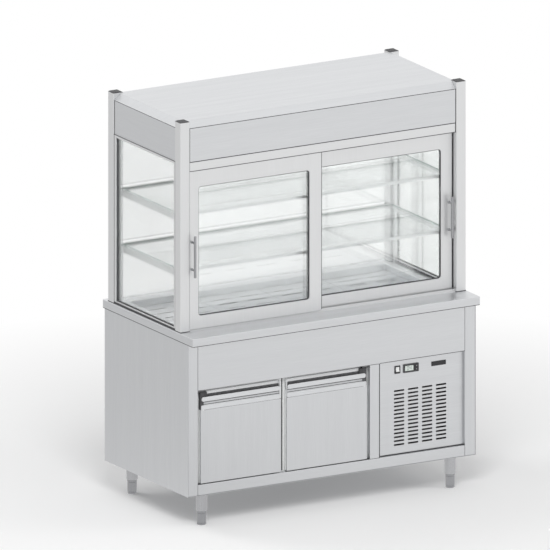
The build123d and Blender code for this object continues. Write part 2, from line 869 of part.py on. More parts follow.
def foot(x, y):
    """One adjustable foot: it tapers and rounds to the floor and slides in its sleeve."""
    r, top = foot_radius, foot_height + foot_reserve
    sole, shin = (r - 6, 0), (r - 1.5, 5)
    lines = Polyline([(0, 0), sole]) + ThreePointArc(sole, (r - 2.6, 1.6), shin)
    lines += Polyline([shin, (r, foot_height), (r, top), (0, top), (0, 0)])
    profile = make_face(lines)
    return [Pos(x, y, 0) * revolve(Plane.XZ * profile, Axis.Z)]


def post_places():
    """The low corner of each post, in X and Y."""
    xs = (left + post_inset_x, right - post_inset_x - post_size)
    return [(x, y) for y in (post_front, post_back - post_size) for x in xs]


def posts():
    """Four square tubes with slightly rounded edges; the pipes leave one through its inner wall."""
    bore, half = post_size - 2 * post_wall, post_size / 2
    outline = RectangleRounded(post_size, post_size, 2 * post_wall)
    outline -= RectangleRounded(bore, bore, post_wall)
    post = extrude(outline, post_top - work_height)
    tubes = [Pos(x + half, y + half, work_height) * post for x, y in post_places()]
    _, _, _, _, z0, z1 = coil_box()
    tubes[3] -= block(pipe_x - post_size, pipe_x, pipe_y - 18, pipe_y + 18, z0, z1)
    return tubes


def post_caps():
    """A low bevelled cap with a plug in each post."""
    caps = []
    for x, y in post_places():
        centre = Pos(x + post_size / 2, y + post_size / 2, 0)
        low = centre * Pos(0, 0, post_top) * Rectangle(post_size, post_size)
        high = centre * Pos(0, 0, total_height) * Rectangle(post_size - 14, post_size - 14)
        plug = post_size - 2 * post_wall - 2 * gap
        cap = loft([low.faces()[0], high.faces()[0]])
        cap += centre * Pos(0, 0, post_top - 12) * extrude(RectangleRounded(plug, plug, 2), 12)
        caps.append(cap)
    return caps


def post_notches(z0, z1, spare):
    """Solids a little larger than the posts, to cut what fits round them."""
    low, high = -spare, post_size + spare
    return [block(x + low, x + high, y + low, y + high, z0, z1) for x, y in post_places()]


def roof_panel():
    """The roof tray: a flat top with sloping edges, let in round the four posts."""
    x0, x1 = left + post_inset_x + 4, right - post_inset_x - 4

    def tray(inset, z0, z1):
        """The sloping solid, drawn in by inset."""
        w, d = x1 - x0 - 2 * inset, canopy_back - canopy_front - 2 * inset
        centre = Pos((x0 + x1) / 2, (canopy_front + canopy_back) / 2, 0)
        low = centre * Pos(0, 0, z0) * Rectangle(w, d)
        high = centre * Pos(0, 0, z1) * Rectangle(w - 2 * roof_slope_run, d - 2 * roof_slope_run)
        return loft([low.faces()[0], high.faces()[0]])

    roof = tray(0, roof_base, roof_top) - tray(3, roof_base, roof_top - 3)
    for notch in post_notches(roof_base - 1, roof_top + 1, gap):
        roof -= notch
    return [roof]


def canopy_panels():
    """The four upright sheets of the canopy, between the posts."""
    z0, z1 = canopy_base, roof_base
    x0, x1 = left + post_inset_x + 5, right - post_inset_x - 5
    y0, y1 = post_front + post_size, post_back - post_size
    return [
        block(inner_left, inner_right, canopy_front, canopy_front + sheet, z0, z1),
        block(inner_left, inner_right, canopy_back - sheet, canopy_back, z0, z1),
        block(x0, x0 + sheet, y0, y1, z0, z1),
        block(x1 - sheet, x1, y0, y1, z0, z1),
    ]


def evaporator_fan_place():
    """The axis of the canopy fan, in X and Y."""
    return width * -0.28, depth * 0.12


def canopy_ceiling():
    """The sheet under the canopy, with the fan's opening and a row of air slots behind the coil."""
    x0, x1 = left + post_inset_x + 5 + sheet, right - post_inset_x - 5 - sheet
    y0, y1 = post_front + post_size, post_back - post_size
    z0, z1 = canopy_base, canopy_base + sheet
    sheet_metal = block(inner_left, inner_right, canopy_front + sheet, canopy_back - sheet, z0, z1)
    sheet_metal += block(x0, x1, y0, y1, z0, z1)
    x, y = evaporator_fan_place()
    sheet_metal -= rod_z(x, y, z0 - 1, z1 + 1, evaporator_fan_radius + 4)
    a0, a1, b0, _, _, _ = coil_box()
    pitch = (a1 - a0) / 10
    for number in range(10):
        centre = a0 + (number + 0.5) * pitch
        sheet_metal -= block(centre - 26, centre + 26, b0 - 34, b0 - 24, z0 - 1, z1 + 1)
    return [sheet_metal]


def lamp():
    """The long light under the front of the canopy."""
    y = post_front + post_size + 45
    return [block(left * 0.8, right * 0.8, y, y + 34, canopy_base - 16, canopy_base)]


def evaporator_motor():
    """The round frame, arms, motor and shaft that carry the canopy fan."""
    x, y = evaporator_fan_place()
    z = canopy_base + sheet
    inner = evaporator_fan_radius + 5
    frame = rod_z(x, y, z, z + 50, inner + 3) - rod_z(x, y, z - 1, z + 51, inner)
    frame += rod_z(x, y, z + 46, z + 86, 32)
    for number in range(3):
        frame += Pos(x, y, z + 46) * Rot(0, 0, 120 * number) * block(0, inner + 1, -6, 6, 0, 4)
    return [frame + rod_z(x, y, z + 12, z + 46, 4)]


def evaporator_fan():
    """The fan that draws the display's air up to the coil."""
    x, y = evaporator_fan_place()
    return [Pos(x, y, canopy_base + sheet + 26) * axial_fan(evaporator_fan_radius, 22, 20, 4 + running)]


def slide_planes():
    """The front face of the front and of the rear sliding door."""
    first = post_front + front_door_setback
    return first, first + door_track_pitch


def door_tracks():
    """The header with its two channels, and the sill with a guide rib under each door."""
    y0 = post_front + header_setback
    z0 = canopy_base - header_height
    header = block(inner_left, inner_right, y0, y0 + header_depth, z0, canopy_base)
    sill = block(inner_left, inner_right, y0, y0 + header_depth, work_height, work_height + 3)
    for y in slide_planes():
        rear = y + slide_door_thickness
        header -= block(inner_left - 1, inner_right + 1, y - gap, rear + gap, z0 - 1, canopy_base - 12)
        middle = y + slide_door_thickness / 2
        rib_top = work_height + slide_door_lift + 4
        sill += block(inner_left, inner_right, middle - 2, middle + 2, work_height, rib_top)
    return [header, sill]


def slide_door_box(which):
    """A sliding door's left, right, front face and glass edges."""
    planes = slide_planes()
    if which == "front":
        x0 = inner_left + 2
        x1 = x0 + front_door_width
        return x0, x1, planes[0], x0 + front_left_stile, x1 - front_right_stile
    x1 = inner_right - 2
    x0 = x1 - rear_door_width
    return x0, x1, planes[1], x0 + rear_stile, x1 - rear_stile


def slide_door_heights():
    """Bottom and top of a sliding door, and of its glass opening."""
    z0 = work_height + slide_door_lift
    z1 = canopy_base - 32
    return z0, z1, z0 + slide_bottom_rail, z1 - slide_top_rail


def slide_door_frame(which):
    """The door's frame with a rounded window, a groove for the pane and one over the guide rib."""
    x0, x1, y, g0, g1 = slide_door_box(which)
    z0, z1, h0, h1 = slide_door_heights()
    t, pane = slide_door_thickness, glass_thickness / 2
    frame = block(x0, x1, y, y + t, z0, z1)
    frame -= rounded_plate_y(g0, g1, h0, h1, y - 1, y + t + 1, glass_corner)
    middle = y + t / 2
    frame -= block(g0 - 10, g1 + 10, middle - pane, middle + pane, h0 - 10, h1 + 10)
    frame -= block(x0 - 1, x1 + 1, middle - 2.5, middle + 2.5, z0 - 1, z0 + 4 + seat_gap)
    return [frame]


def slide_door_glass(which):
    """The pane held in the frame's groove."""
    _, _, y, g0, g1 = slide_door_box(which)
    _, _, h0, h1 = slide_door_heights()
    middle, pane = y + slide_door_thickness / 2, glass_thickness / 2
    return [block(g0 - 10, g1 + 10, middle - pane, middle + pane, h0 - 10, h1 + 10)]


def slide_door_handle(which):
    """The upright bar handle on its two stand-offs."""
    x0, x1, y, _, _ = slide_door_box(which)
    x = x0 + handle_end_offset if which == "front" else x1 - handle_end_offset - 4
    z = work_height + handle_height
    centre = y - handle_stand
    handle = rod_z(x, centre, z - handle_length / 2, z + handle_length / 2, handle_radius)
    for offset in (-handle_span / 2, handle_span / 2):
        handle += rod_y(x, centre, y, z + offset, handle_radius - 1.5)
    return [handle]


def side_frame_spans():
    """The left and right face of each side frame."""
    run = side_frame_depth
    first = left + post_inset_x + 3
    return [(first, first + run), (-first - run, -first)]


def side_glass_frames():
    """Four bars round each side pane, between the front and the rear post."""
    y0, y1 = post_front + post_size, post_back - post_size
    z0, z1 = work_height, canopy_base
    w = side_frame_width
    bars = []
    for x0, x1 in side_frame_spans():
        bars.append(block(x0, x1, y0, y1, z0, z0 + w))
        bars.append(block(x0, x1, y0, y1, z1 - w, z1))
        bars.append(block(x0, x1, y0, y0 + w, z0 + w, z1 - w))
        bars.append(block(x0, x1, y1 - w - 4, y1, z0 + w, z1 - w))
    return bars


def side_glass():
    """The two fixed side panes."""
    y0, y1 = post_front + post_size, post_back - post_size
    w, pane = side_frame_width, glass_thickness
    panes = []
    for x0, x1 in side_frame_spans():
        x = (x0 + x1) / 2
        inner = (x - pane / 2, x + pane / 2, y0 + w, y1 - w - 4, work_height + w, canopy_base - w)
        panes.append(block(*inner))
    return panes


def shelf_ends():
    """The inner faces of the side frames."""
    (_, x0), (x1, _) = side_frame_spans()
    return x0, x1


def shelf_frame():
    """Uprights on the side frames, and for each shelf two end brackets and two long edge rails."""
    x0, x1 = shelf_ends()
    y0, y1 = post_front + post_size + 5, post_back - post_size - 5
    pieces = []
    for x in (x0, x1 - 12):
        for y in (y0, y1 - 20):
            pieces.append(block(x, x + 12, y, y + 20, work_height, canopy_base))
    for height in shelf_heights:
        z = work_height + height
        for wall, tip, web in ((x0 + 12, x0 + 32, x0 + 15), (x1 - 12, x1 - 32, x1 - 15)):
            bracket = block(min(wall, web), max(wall, web), y0, y1, z - 30, z + 4)
            bracket += block(min(wall, tip), max(wall, tip), y0, y1, z - 7, z - 4)
            pieces.append(bracket)
        for edge, way in ((y0 + 10, 1), (y1 - 10, -1)):
            low, high = sorted((edge, edge + way * 20))
            lip0, lip1 = sorted((edge, edge + way * 3))
            rail = block(x0 + 16, x1 - 16, low, high, z - 4, z)
            pieces.append(rail + block(x0 + 16, x1 - 16, lip0, lip1, z, z + 10))
    return pieces


def display_shelves():
    """The glass shelves that lie in the long rails."""
    x0, x1 = shelf_ends()
    y0, y1 = post_front + post_size + 18.5, post_back - post_size - 18.5
    levels = [work_height + z for z in shelf_heights]
    return [block(x0 + 20, x1 - 20, y0, y1, z, z + glass_thickness) for z in levels]


def flap_axes():
    """The height of each flap's pivot, and of its lower edge, from the lowest flap up."""
    steps = [work_height] + [work_height + z for z in shelf_heights] + [canopy_base]
    return [(high - 6, low + (4 if low == work_height else 6)) for low, high in zip(steps, steps[1:])]


def flap(axis_z, low_z):
    """One clear flap: a pane on a round top bead with a pin at each end, and a lip turned out below."""
    t = flap_thickness / 2
    x0, x1 = inner_left + flap_bush + 1, inner_right - flap_bush - 1
    pane = block(x0, x1, flap_y - t, flap_y + t, low_z, axis_z)
    pane += rod_x(x0, x1, flap_y, axis_z, 5)
    pane += block(x0, x1, flap_y, flap_y + 18, low_z, low_z + 4)
    pane += rod_x(inner_left + 1, inner_right - 1, flap_y, axis_z, flap_pin_radius)
    return [pane]


def flap_bushes():
    """A bush for each flap pin, on the inner faces of the rear posts."""
    bushes = []
    for z, _ in flap_axes():
        for x0 in (inner_left, inner_right - flap_bush):
            bush = block(x0, x0 + flap_bush, flap_y - 8, flap_y + 8, z - 8, z + 6)
            bushes.append(bush - rod_x(x0 - 1, x0 + flap_bush + 1, flap_y, z, flap_pin_radius + running))
    return bushes


def build():
    """Makes every piece and writes it to its own file."""
    os.makedirs("parts", exist_ok=True)
    save("worktop", worktop())
    save("insulation_boards", insulation())
    save("base_plates", base_plates())
    save("drain_pipe", drain_pipe())
    save("cabinet_shell", cabinet_shell())
    save("customer_panel", customer_panel())
    save("front_frame", front_frame())
    save("cold_cell", cold_cell())
    save("cell_shelves", cell_shelves())
    save("shelf_runners", shelf_runners())
    save("hinge_brackets", hinge_brackets())
    for number, side in enumerate(("left", "right")):
        save(f"{side}_door_panel", cupboard_door(number))
        save(f"{side}_door_grip", door_grip(number))
        save(f"{side}_door_gasket", door_gasket(number))
    save("unit_panel", unit_panel())
    save("switch_housing", switch_housing())
    save("switch_rocker", switch_rocker())
    save("controller_case", controller_case())
    for name, place in zip(("up", "down"), controller_keys()):
        save(f"controller_key_{name}", controller_key(*place))
    save("blank_plate", blank_plate())
    save("compressor", compressor())
    save("compressor_mounts", compressor_mounts())
    save("condenser", [finned_coil(*condenser_box(), 10)])
    save("fan_shroud", fan_shroud())
    save("fan_motors", fan_motor() + evaporator_motor())
    save("condenser_fan", condenser_fan())
    save("refrigerant_lines", refrigerant_lines())
    save("cable_gland", cable_gland())
    save("leg_sleeves", leg_sleeves())
    for name, place in zip(("front_left", "front_right", "back_left", "back_right"), leg_places()):
        save(f"foot_{name}", foot(*place))
    save("posts", posts())
    save("post_caps", post_caps())
    save("roof_panel", roof_panel())
    save("canopy_panels", canopy_panels())
    save("canopy_ceiling", canopy_ceiling())
    save("lamp", lamp())
    save("evaporator_coils", evaporator_coils())
    save("evaporator_fan", evaporator_fan())
    save("door_tracks", door_tracks())
    save("side_glass_frames", side_glass_frames())
    save("side_glass", side_glass())
    for which in ("front", "rear"):
        save(f"{which}_slide_frame", slide_door_frame(which))
        save(f"{which}_slide_glass", slide_door_glass(which))
        save(f"{which}_slide_handle", slide_door_handle(which))
    save("display_shelves", display_shelves())
    save("shelf_frame", shelf_frame())
    for name, (axis_z, low_z) in zip(("lower", "middle", "upper"), flap_axes()):
        save(f"{name}_flap", flap(axis_z, low_z))
    save("flap_bushes", flap_bushes())


build()
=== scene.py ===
"""The looks of a refrigerated display counter: a brushed steel base with a cold well, and a glazed display on four
posts."""
import math

import bmesh
import bpy
import numpy as np
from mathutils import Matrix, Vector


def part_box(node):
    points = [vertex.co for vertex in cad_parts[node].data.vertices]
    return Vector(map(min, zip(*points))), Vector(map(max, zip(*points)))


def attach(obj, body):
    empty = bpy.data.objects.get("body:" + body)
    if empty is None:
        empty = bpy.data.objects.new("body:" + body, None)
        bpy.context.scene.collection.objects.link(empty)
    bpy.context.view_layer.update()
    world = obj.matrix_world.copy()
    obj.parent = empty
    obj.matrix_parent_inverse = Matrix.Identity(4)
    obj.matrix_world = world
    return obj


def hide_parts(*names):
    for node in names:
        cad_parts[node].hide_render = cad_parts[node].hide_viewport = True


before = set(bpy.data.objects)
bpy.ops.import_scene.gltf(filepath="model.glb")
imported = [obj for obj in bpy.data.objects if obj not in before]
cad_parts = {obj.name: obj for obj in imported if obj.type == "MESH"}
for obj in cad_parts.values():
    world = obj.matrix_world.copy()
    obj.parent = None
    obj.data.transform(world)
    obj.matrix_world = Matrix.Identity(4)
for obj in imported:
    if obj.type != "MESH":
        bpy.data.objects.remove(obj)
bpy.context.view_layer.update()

X, Y, Z = 0, 1, 2
mm = 0.001

# Steps of the curved stretches
CORNER_STEPS = 6
EDGE_STEPS = 3
TURN_STEPS = 40

# Sheet metal of the base
sheet = 1.5 * mm
top_fold = 40 * mm
top_edge = 3 * mm
top_corner = 5 * mm
well_edge = 4 * mm
well_corner = 4 * mm
well_cove = 9 * mm
drain_radius = 14 * mm
pan_edge = 2.2 * mm
frame_run = 25 * mm
panel_gap = 0.5 * mm
seam = 0.6 * mm
joint_line = 3 * mm
joint_stand = 0.6 * mm

# Cupboard doors and their grips
door_side_gap = 14.5 * mm
door_thickness = 20 * mm
skin_run = 6 * mm
skin_wall = 1 * mm
pivot_width = 18 * mm
pivot_place = (9 * mm, 10.5 * mm)
pivot_bore = 4.1 * mm
pivot_depth = 15 * mm
plug_inset = 28 * mm
grip_band = 21 * mm
grip_groove = 17 * mm
grip_lip = 21 * mm
grip_face = 4.5 * mm
grip_end = 6 * mm
grip_round = 9 * mm

# Glazing
pane = 6 * mm
gasket_line = 3 * mm
guide_slot = 4.3 * mm
slide_bottom = 58 * mm
slide_top = 91 * mm
header_height = 47 * mm
window_corner = 14 * mm
front_stiles = (49 * mm, 65 * mm)
rear_stiles = (60 * mm, 60 * mm)
side_bar = 14 * mm
side_back_bar = 18 * mm
side_depth = 22 * mm
screw_share = 128 / 194

# Shelves of the cold cell
cross_wires = 15
stay_shares = (0.33, 0.67)

# Legs
flange_run = 16 * mm
sleeve_bore = 22.6 * mm

# Coils
condenser_foot = 10 * mm
evaporator_foot = 8.5 * mm
fin = 0.3 * mm
end_plate = 2 * mm

# Fans: shares of the blade circle's radius, of the depth and of a turn's angle in radians
blades = 5
hub_share = 0.22
depth_share = 0.42
tip_sweep = 0.35
root_spread = 0.52
tip_narrowing = 0.14

# The drawing's parallel view
view_turn = math.radians(30)
view_drop = math.radians(15)
view_aim = (-0.3905, -0.5282, 1.1810)
view_width = 2.4842


# Surfaces. Each is a pair: an array of points, and a list of faces.

def span(node):
    """Left, right, front, back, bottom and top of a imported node."""
    low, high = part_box(node)
    return low.x, high.x, low.y, high.y, low.z, high.z


def solids(node):
    """The boxes of a node's separate solids: every point takes the lowest number among its faces until nothing
    changes."""
    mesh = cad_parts[node].data
    points = np.empty(len(mesh.vertices) * 3, np.float32)
    mesh.vertices.foreach_get("co", points)
    corners = np.empty(len(mesh.loops), np.int32)
    mesh.loops.foreach_get("vertex_index", corners)
    places, index = np.unique(np.round(points.reshape(-1, 3), 5), axis=0, return_inverse=True)
    faces = index.ravel()[corners].reshape(-1, 3)
    label = np.arange(len(places))
    while True:
        lower = label.copy()
        np.minimum.at(lower, faces.ravel(), np.repeat(label[faces].min(axis=1), 3))
        lower = lower[lower]
        if (lower == label).all():
            break
        label = lower
    groups = [places[label == number] for number in np.unique(label)]
    return [tuple(np.stack([own.min(axis=0), own.max(axis=0)], axis=-1).ravel().tolist()) for own in groups]


def others(axis):
    """The two directions across an axis, in ascending order."""
    return [k for k in range(3) if k != axis]


def middle_across(box, axis):
    """Where the axis of a round part crosses the other two directions."""
    return [(box[2 * k] + box[2 * k + 1]) / 2 for k in others(axis)]


def within(shape, by, radius):
    """A rounded rectangle whose sides lie inside those of another one, all by the same amount."""
    u0, u1, v0, v1 = shape[:4]
    return u0 + by, u1 - by, v0 + by, v1 - by, radius


def disc(centre, radius):
    """A circle, which is a rounded rectangle that is all corner."""
    u, v = centre
    return u - radius, u + radius, v - radius, v + radius, radius


def circle(steps):
    """Unit directions, evenly round a circle."""
    angles = np.arange(steps) * 2 * math.pi / steps
    return np.stack([np.cos(angles), np.sin(angles)], axis=-1)


def lofted(grid, closed=False):
    """The surface through rows of points, each row a closed loop. The first and the last row are capped, unless they
    join each other."""
    rows, columns = grid.shape[:2]
    row = np.arange(rows if closed else rows - 1)[:, None]
    column = np.arange(columns)[None, :]
    next_row, next_column = (row + 1) % rows, (column + 1) % columns
    corners = np.broadcast_arrays(
        row * columns + column,
        row * columns + next_column,
        next_row * columns + next_column,
        next_row * columns + column,
    )
    faces = np.stack(corners, axis=-1).reshape(-1, 4).tolist()
    if not closed:
        faces += [list(range(columns)), list(range((rows - 1) * columns, rows * columns))]
    return grid.reshape(-1, 3), faces


def repeated(grids):
    """Equal surfaces, one for each grid of points, numbered one after another."""
    faces = lofted(grids[0])[1]
    size = grids[0][..., 0].size
    starts = range(0, size * len(grids), size)
    return grids.reshape(-1, 3), [[start + k for k in face] for start in starts for face in faces]


def outline(shape, inset):
    """A rounded rectangle drawn in by inset. Each point is the corner's centre plus what is left of the radius along
    a unit direction; past the radius, the corner moves in along both sides."""
    u0, u1, v0, v1, radius = shape
    signs = np.array([(1, -1), (1, 1), (-1, 1), (-1, -1)], float)
    centres = np.where(signs > 0, (u1 - radius, v1 - radius), (u0 + radius, v0 + radius))
    quarter = np.linspace(0, math.pi / 2, CORNER_STEPS + 1)
    angles = np.array([-0.5, 0, 0.5, 1])[:, None] * math.pi + quarter[None, :]
    directions = np.stack([np.cos(angles), np.sin(angles)], axis=-1)
    arc, over = max(radius - inset, 0), max(inset - radius, 0)
    return (centres[:, None] - over * signs[:, None] + arc * directions).reshape(-1, 2)


def carried(axis, shapes, profile, closed=False):
    """A closed outline carried along an axis through steps of (shape number, inset, height). The two ends are capped,
    unless the last step joins the first."""
    rings = np.array([outline(shapes[number], inset) for number, inset, _ in profile])
    grid = np.empty((*rings.shape[:2], 3))
    grid[..., others(axis)] = rings
    grid[..., axis] = np.array([height for _, _, height in profile])[:, None]
    return lofted(grid, closed)


def bend(number, inset, height, radius, start, end, steps=EDGE_STEPS):
    """Profile steps along an arc about (inset, height): at 0 degrees the outermost side, at 90 the highest point."""
    angles = np.radians(np.linspace(start, end, steps + 1))
    return [(number, inset - radius * math.cos(a), height + radius * math.sin(a)) for a in angles]


def slab(axis, shape, low, high, edge=1 * mm):
    """A plate with a rounded outline and quarter-round edges on both faces."""
    return carried(axis, [shape], bend(0, edge, low + edge, edge, -90, 0) + bend(0, edge, high - edge, edge, 0, 90))


def pan(axis, shape, face, rim, edge=pan_edge, wall=sheet):
    """A folded sheet: an inner cap, the inner side, the rim, the outer side and the bent edge up to the face."""
    way = 1 if rim > face else -1
    inner = bend(0, edge, edge, edge - wall, -90, 0)
    run = abs(rim - face)
    outer = bend(0, edge, edge, edge, 0, -90)
    profile = inner + [(0, wall, run), (0, 0, run)] + outer
    return carried(axis, [shape], [(number, inset, face + way * height) for number, inset, height in profile])


def ring(axis, outer, inner, low, high, edge=1 * mm):
    """A frame round a window: one closed section, with its four long edges rounded."""
    section = bend(0, edge, low + edge, edge, -90, 0) + bend(0, edge, high - edge, edge, 0, 90)
    section += bend(1, -edge, high - edge, edge, 90, 180) + bend(1, -edge, low + edge, edge, 180, 270)
    return carried(axis, [outer, inner], section, closed=True)


def turned(axis, centre, profile, closed=False, steps=TURN_STEPS):
    """A profile of (radius, height) turned round an axis, which crosses the other two directions at centre."""
    radii, heights = np.array(profile, float).T
    grid = np.empty((len(radii), steps, 3))
    grid[..., others(axis)] = np.array(centre) + radii[:, None, None] * circle(steps)
    grid[..., axis] = heights[:, None]
    return lofted(grid, closed)


def dome(radius, low, high, steps=4):
    """The profile of a round bar whose two ends are quarter rounds of a third of its radius."""
    bevel = radius / 3
    angles = np.radians(np.linspace(0, 90, steps + 1))
    rise = [(radius - bevel + bevel * math.sin(a), low + bevel - bevel * math.cos(a)) for a in angles]
    return rise + [(r, high + low - h) for r, h in reversed(rise)]


def tube(path, radius, up, closed=False, steps=12):
    """A circle carried along a path in one plane: at each point it is spanned by the plane's normal and by the
    direction across the path."""
    path, up = np.array(path, float), np.array(up, float)
    if closed:
        along = np.roll(path, -1, axis=0) - np.roll(path, 1, axis=0)
    else:
        along = np.gradient(path, axis=0)
    along /= np.linalg.norm(along, axis=1)[:, None]
    side, rise = circle(steps).T[..., None]
    return lofted(path[:, None] + radius * (side * np.cross(up, along)[:, None] + rise * up), closed)


def rods(axis, places, low, high, radius, steps=10):
    """Equal round wires along an axis, one at each place, all at once."""
    grids = np.empty((len(places), 2, steps, 3))
    grids[..., others(axis)] = np.array(places, float)[:, None, None] + radius * circle(steps)
    grids[..., axis] = np.array([low, high])[None, :, None]
    return repeated(grids)


def plates(axis, places, thickness, u0, u1, v0, v1):
    """Equal thin plates square to an axis, one at each place, all at once."""
    grids = np.empty((len(places), 2, 4, 3))
    grids[..., others(axis)] = np.array([(u0, v0), (u1, v0), (u1, v1), (u0, v1)])
    grids[..., axis] = (np.array(places, float)[:, None] + np.array([0, thickness])[None, :])[..., None]
    return repeated(grids)


def drawn(axis, points, low, high):
    """A closed outline in the plane square to an axis, carried straight from low to high, with both ends capped."""
    grid = np.empty((2, len(points), 3))
    grid[..., others(axis)] = np.array(points, float)
    grid[..., axis] = np.array([low, high])[:, None]
    return lofted(grid)


def arc(centre, radius, start, end, steps=6):
    """Points on an arc in a plane, with angles in degrees from its first direction."""
    angles = np.radians(np.linspace(start, end, steps + 1))
    return [(centre[0] + radius * math.cos(a), centre[1] + radius * math.sin(a)) for a in angles]


def placed(name, data):
    """A new object of the scene."""
    made = bpy.data.objects.new(name, data)
    bpy.context.scene.collection.objects.link(made)
    return made


def piece(name, shapes, material, body="cabinet", replaces=(), sharp=38):
    """One object made of closed surfaces. Each has its doubles merged and its faces turned outwards, and the object
    is smooth except across edges steeper than sharp degrees."""
    whole = bmesh.new()
    for points, faces in shapes:
        loose = bpy.data.meshes.new("surface")
        loose.from_pydata(points, [], faces)
        part = bmesh.new()
        part.from_mesh(loose)
        bmesh.ops.remove_doubles(part, verts=part.verts, dist=1e-6)
        bmesh.ops.recalc_face_normals(part, faces=part.faces)
        part.to_mesh(loose)
        part.free()
        whole.from_mesh(loose)
        bpy.data.meshes.remove(loose)
    mesh = bpy.data.meshes.new(name)
    whole.to_mesh(mesh)
    whole.free()
    mesh.polygons.foreach_set("use_smooth", np.ones(len(mesh.polygons), bool))
    mesh.set_sharp_from_angle(angle=math.radians(sharp))
    mesh.materials.append(material)
    made = placed(name, mesh)
    flat = made.modifiers.new("flat_faces", "WEIGHTED_NORMAL")
    flat.keep_sharp = True
    flat.weight = 100
    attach(made, body)
    if replaces:
        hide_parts(*replaces)
    return made


def polished_edges(made, axis):
    """Gives a pane's narrow faces their own material: those whose normal lies mostly across the pane's axis."""
    made.data.materials.append(glass_edge)
    normals = np.empty(len(made.data.polygons) * 3, np.float32)
    made.data.polygons.foreach_get("normal", normals)
    mostly = 0.9
    narrow = np.abs(normals.reshape(-1, 3)[:, axis]) < mostly
    made.data.polygons.foreach_set("material_index", narrow.astype(np.int32))


# Materials. A scale is one number, or one for each direction.

noise_middle = (0.32, 0.68)
end_on_from = 0.7
worn_edges = (0.515, 0.58)
worn_share = 0.55
relief_depth = 0.1 * mm
scratches, hairs, bands = (900.0, 9.0), (3000.0, 30.0), (38.0, 1.1)


def node(tree, kind, inputs=None, **settings):
    """A shader node with its settings, its linked inputs and its fixed ones."""
    made = tree.nodes.new(kind)
    for key, value in settings.items():
        setattr(made, key, value)
    for key, value in (inputs or {}).items():
        if isinstance(value, bpy.types.NodeSocket):
            tree.links.new(value, made.inputs[key])
        else:
            made.inputs[key].default_value = value
    return made


def maths(tree, operation, first, second=0.0):
    """One step of arithmetic."""
    return node(tree, "ShaderNodeMath", {0: first, 1: second}, operation=operation).outputs[0]


def ranged(tree, value, start=0.0, end=1.0, low=0.0, high=1.0):
    """A value's range from start to end stretched to run from low to high."""
    settings = {"Value": value, "From Min": start, "From Max": end, "To Min": low, "To Max": high}
    return node(tree, "ShaderNodeMapRange", settings).outputs["Result"]


def between(tree, value, low, high):
    """A noise whose middle range is stretched to run from low to high."""
    return ranged(tree, value, *noise_middle, low, high)


def shaded(name):
    """A new material with its node tree and its shader."""
    made = bpy.data.materials.new(name)
    made.use_nodes = True
    return made, made.node_tree, made.node_tree.nodes["Principled BSDF"]


def grain_place(tree, along):
    """The piece's own coordinates for a grain along one axis. On a face that looks along that axis the grain runs
    along the next one, so the two coordinates change places there."""
    coordinate = node(tree, "ShaderNodeTexCoord")
    parts = node(tree, "ShaderNodeSeparateXYZ", {0: coordinate.outputs["Object"]}).outputs
    order = [X, Y, Z]
    other = (along + 1) % 3
    order[along], order[other] = other, along
    turned_place = node(tree, "ShaderNodeCombineXYZ", {k: parts[order[k]] for k in order}).outputs[0]
    facing = node(tree, "ShaderNodeSeparateXYZ", {0: coordinate.outputs["Normal"]}).outputs[along]
    end_on = maths(tree, "GREATER_THAN", maths(tree, "ABSOLUTE", facing), end_on_from)
    settings = {0: end_on, 4: coordinate.outputs["Object"], 5: turned_place}
    return node(tree, "ShaderNodeMix", settings, data_type="VECTOR").outputs[1]


def noise(tree, scale, detail, distortion=0.0, along=None):
    """A noise from 0 to 1 on the piece's own coordinates, with its own scale along each axis, or along a grain."""
    place = node(tree, "ShaderNodeTexCoord").outputs["Object"] if along is None else grain_place(tree, along)
    scales = scale if isinstance(scale, (list, tuple)) else (scale,) * 3
    mapped = node(tree, "ShaderNodeMapping", {"Vector": place, "Scale": scales}).outputs["Vector"]
    settings = {"Vector": mapped, "Scale": 1.0, "Detail": detail, "Distortion": distortion}
    return node(tree, "ShaderNodeTexNoise", settings).outputs["Fac"]


def blended(tree, factor, first, second):
    """Two colours mixed by a factor."""
    made = node(tree, "ShaderNodeMix", {"Factor": factor}, data_type="RGBA")
    for socket, colour in ((made.inputs[6], first), (made.inputs[7], second)):
        if isinstance(colour, bpy.types.NodeSocket):
            tree.links.new(colour, socket)
        else:
            socket.default_value = (*colour, 1.0)
    return made.outputs[2]


def finish(name, colour, shade, roughness, grain, fine, broad=2.3, metallic=0.0, relief=0.15, wear=None, along=None,
           **fixed):
    """A surface whose colour and roughness wander with a grain and a broad noise, and whose relief is a fine noise.
    shade is the share of the colour left in the darkest streaks; wear is the colour that shows on worn edges."""
    made, tree, shader = shaded(name)
    shader.inputs["Metallic"].default_value = metallic
    for key, value in fixed.items():
        shader.inputs[key.replace("_", " ")].default_value = value
    streaks = noise(tree, grain, 6.0, along=along)
    clouds = noise(tree, broad, 3.0, 0.4, along)
    dark = tuple(shade * c for c in colour)
    tone = blended(tree, between(tree, streaks, 0.0, 0.7), colour, dark)
    tone = blended(tree, between(tree, clouds, 0.0, 0.3), tone, dark)
    if wear:
        pointed = node(tree, "ShaderNodeNewGeometry").outputs["Pointiness"]
        worn = ranged(tree, pointed, *worn_edges, high=worn_share)
        tone = blended(tree, maths(tree, "MULTIPLY", worn, between(tree, streaks, 0.3, 1.0)), tone, wear)
    mixed = maths(tree, "ADD", between(tree, streaks, 0.0, 0.6), between(tree, clouds, 0.0, 0.4))
    small = noise(tree, fine, 4.0, along=along)
    bump = node(tree, "ShaderNodeBump", {"Height": small, "Strength": relief, "Distance": relief_depth})
    tree.links.new(tone, shader.inputs["Base Color"])
    tree.links.new(ranged(tree, mixed, low=roughness[0], high=roughness[1]), shader.inputs["Roughness"])
    tree.links.new(bump.outputs["Normal"], shader.inputs["Normal"])
    return made


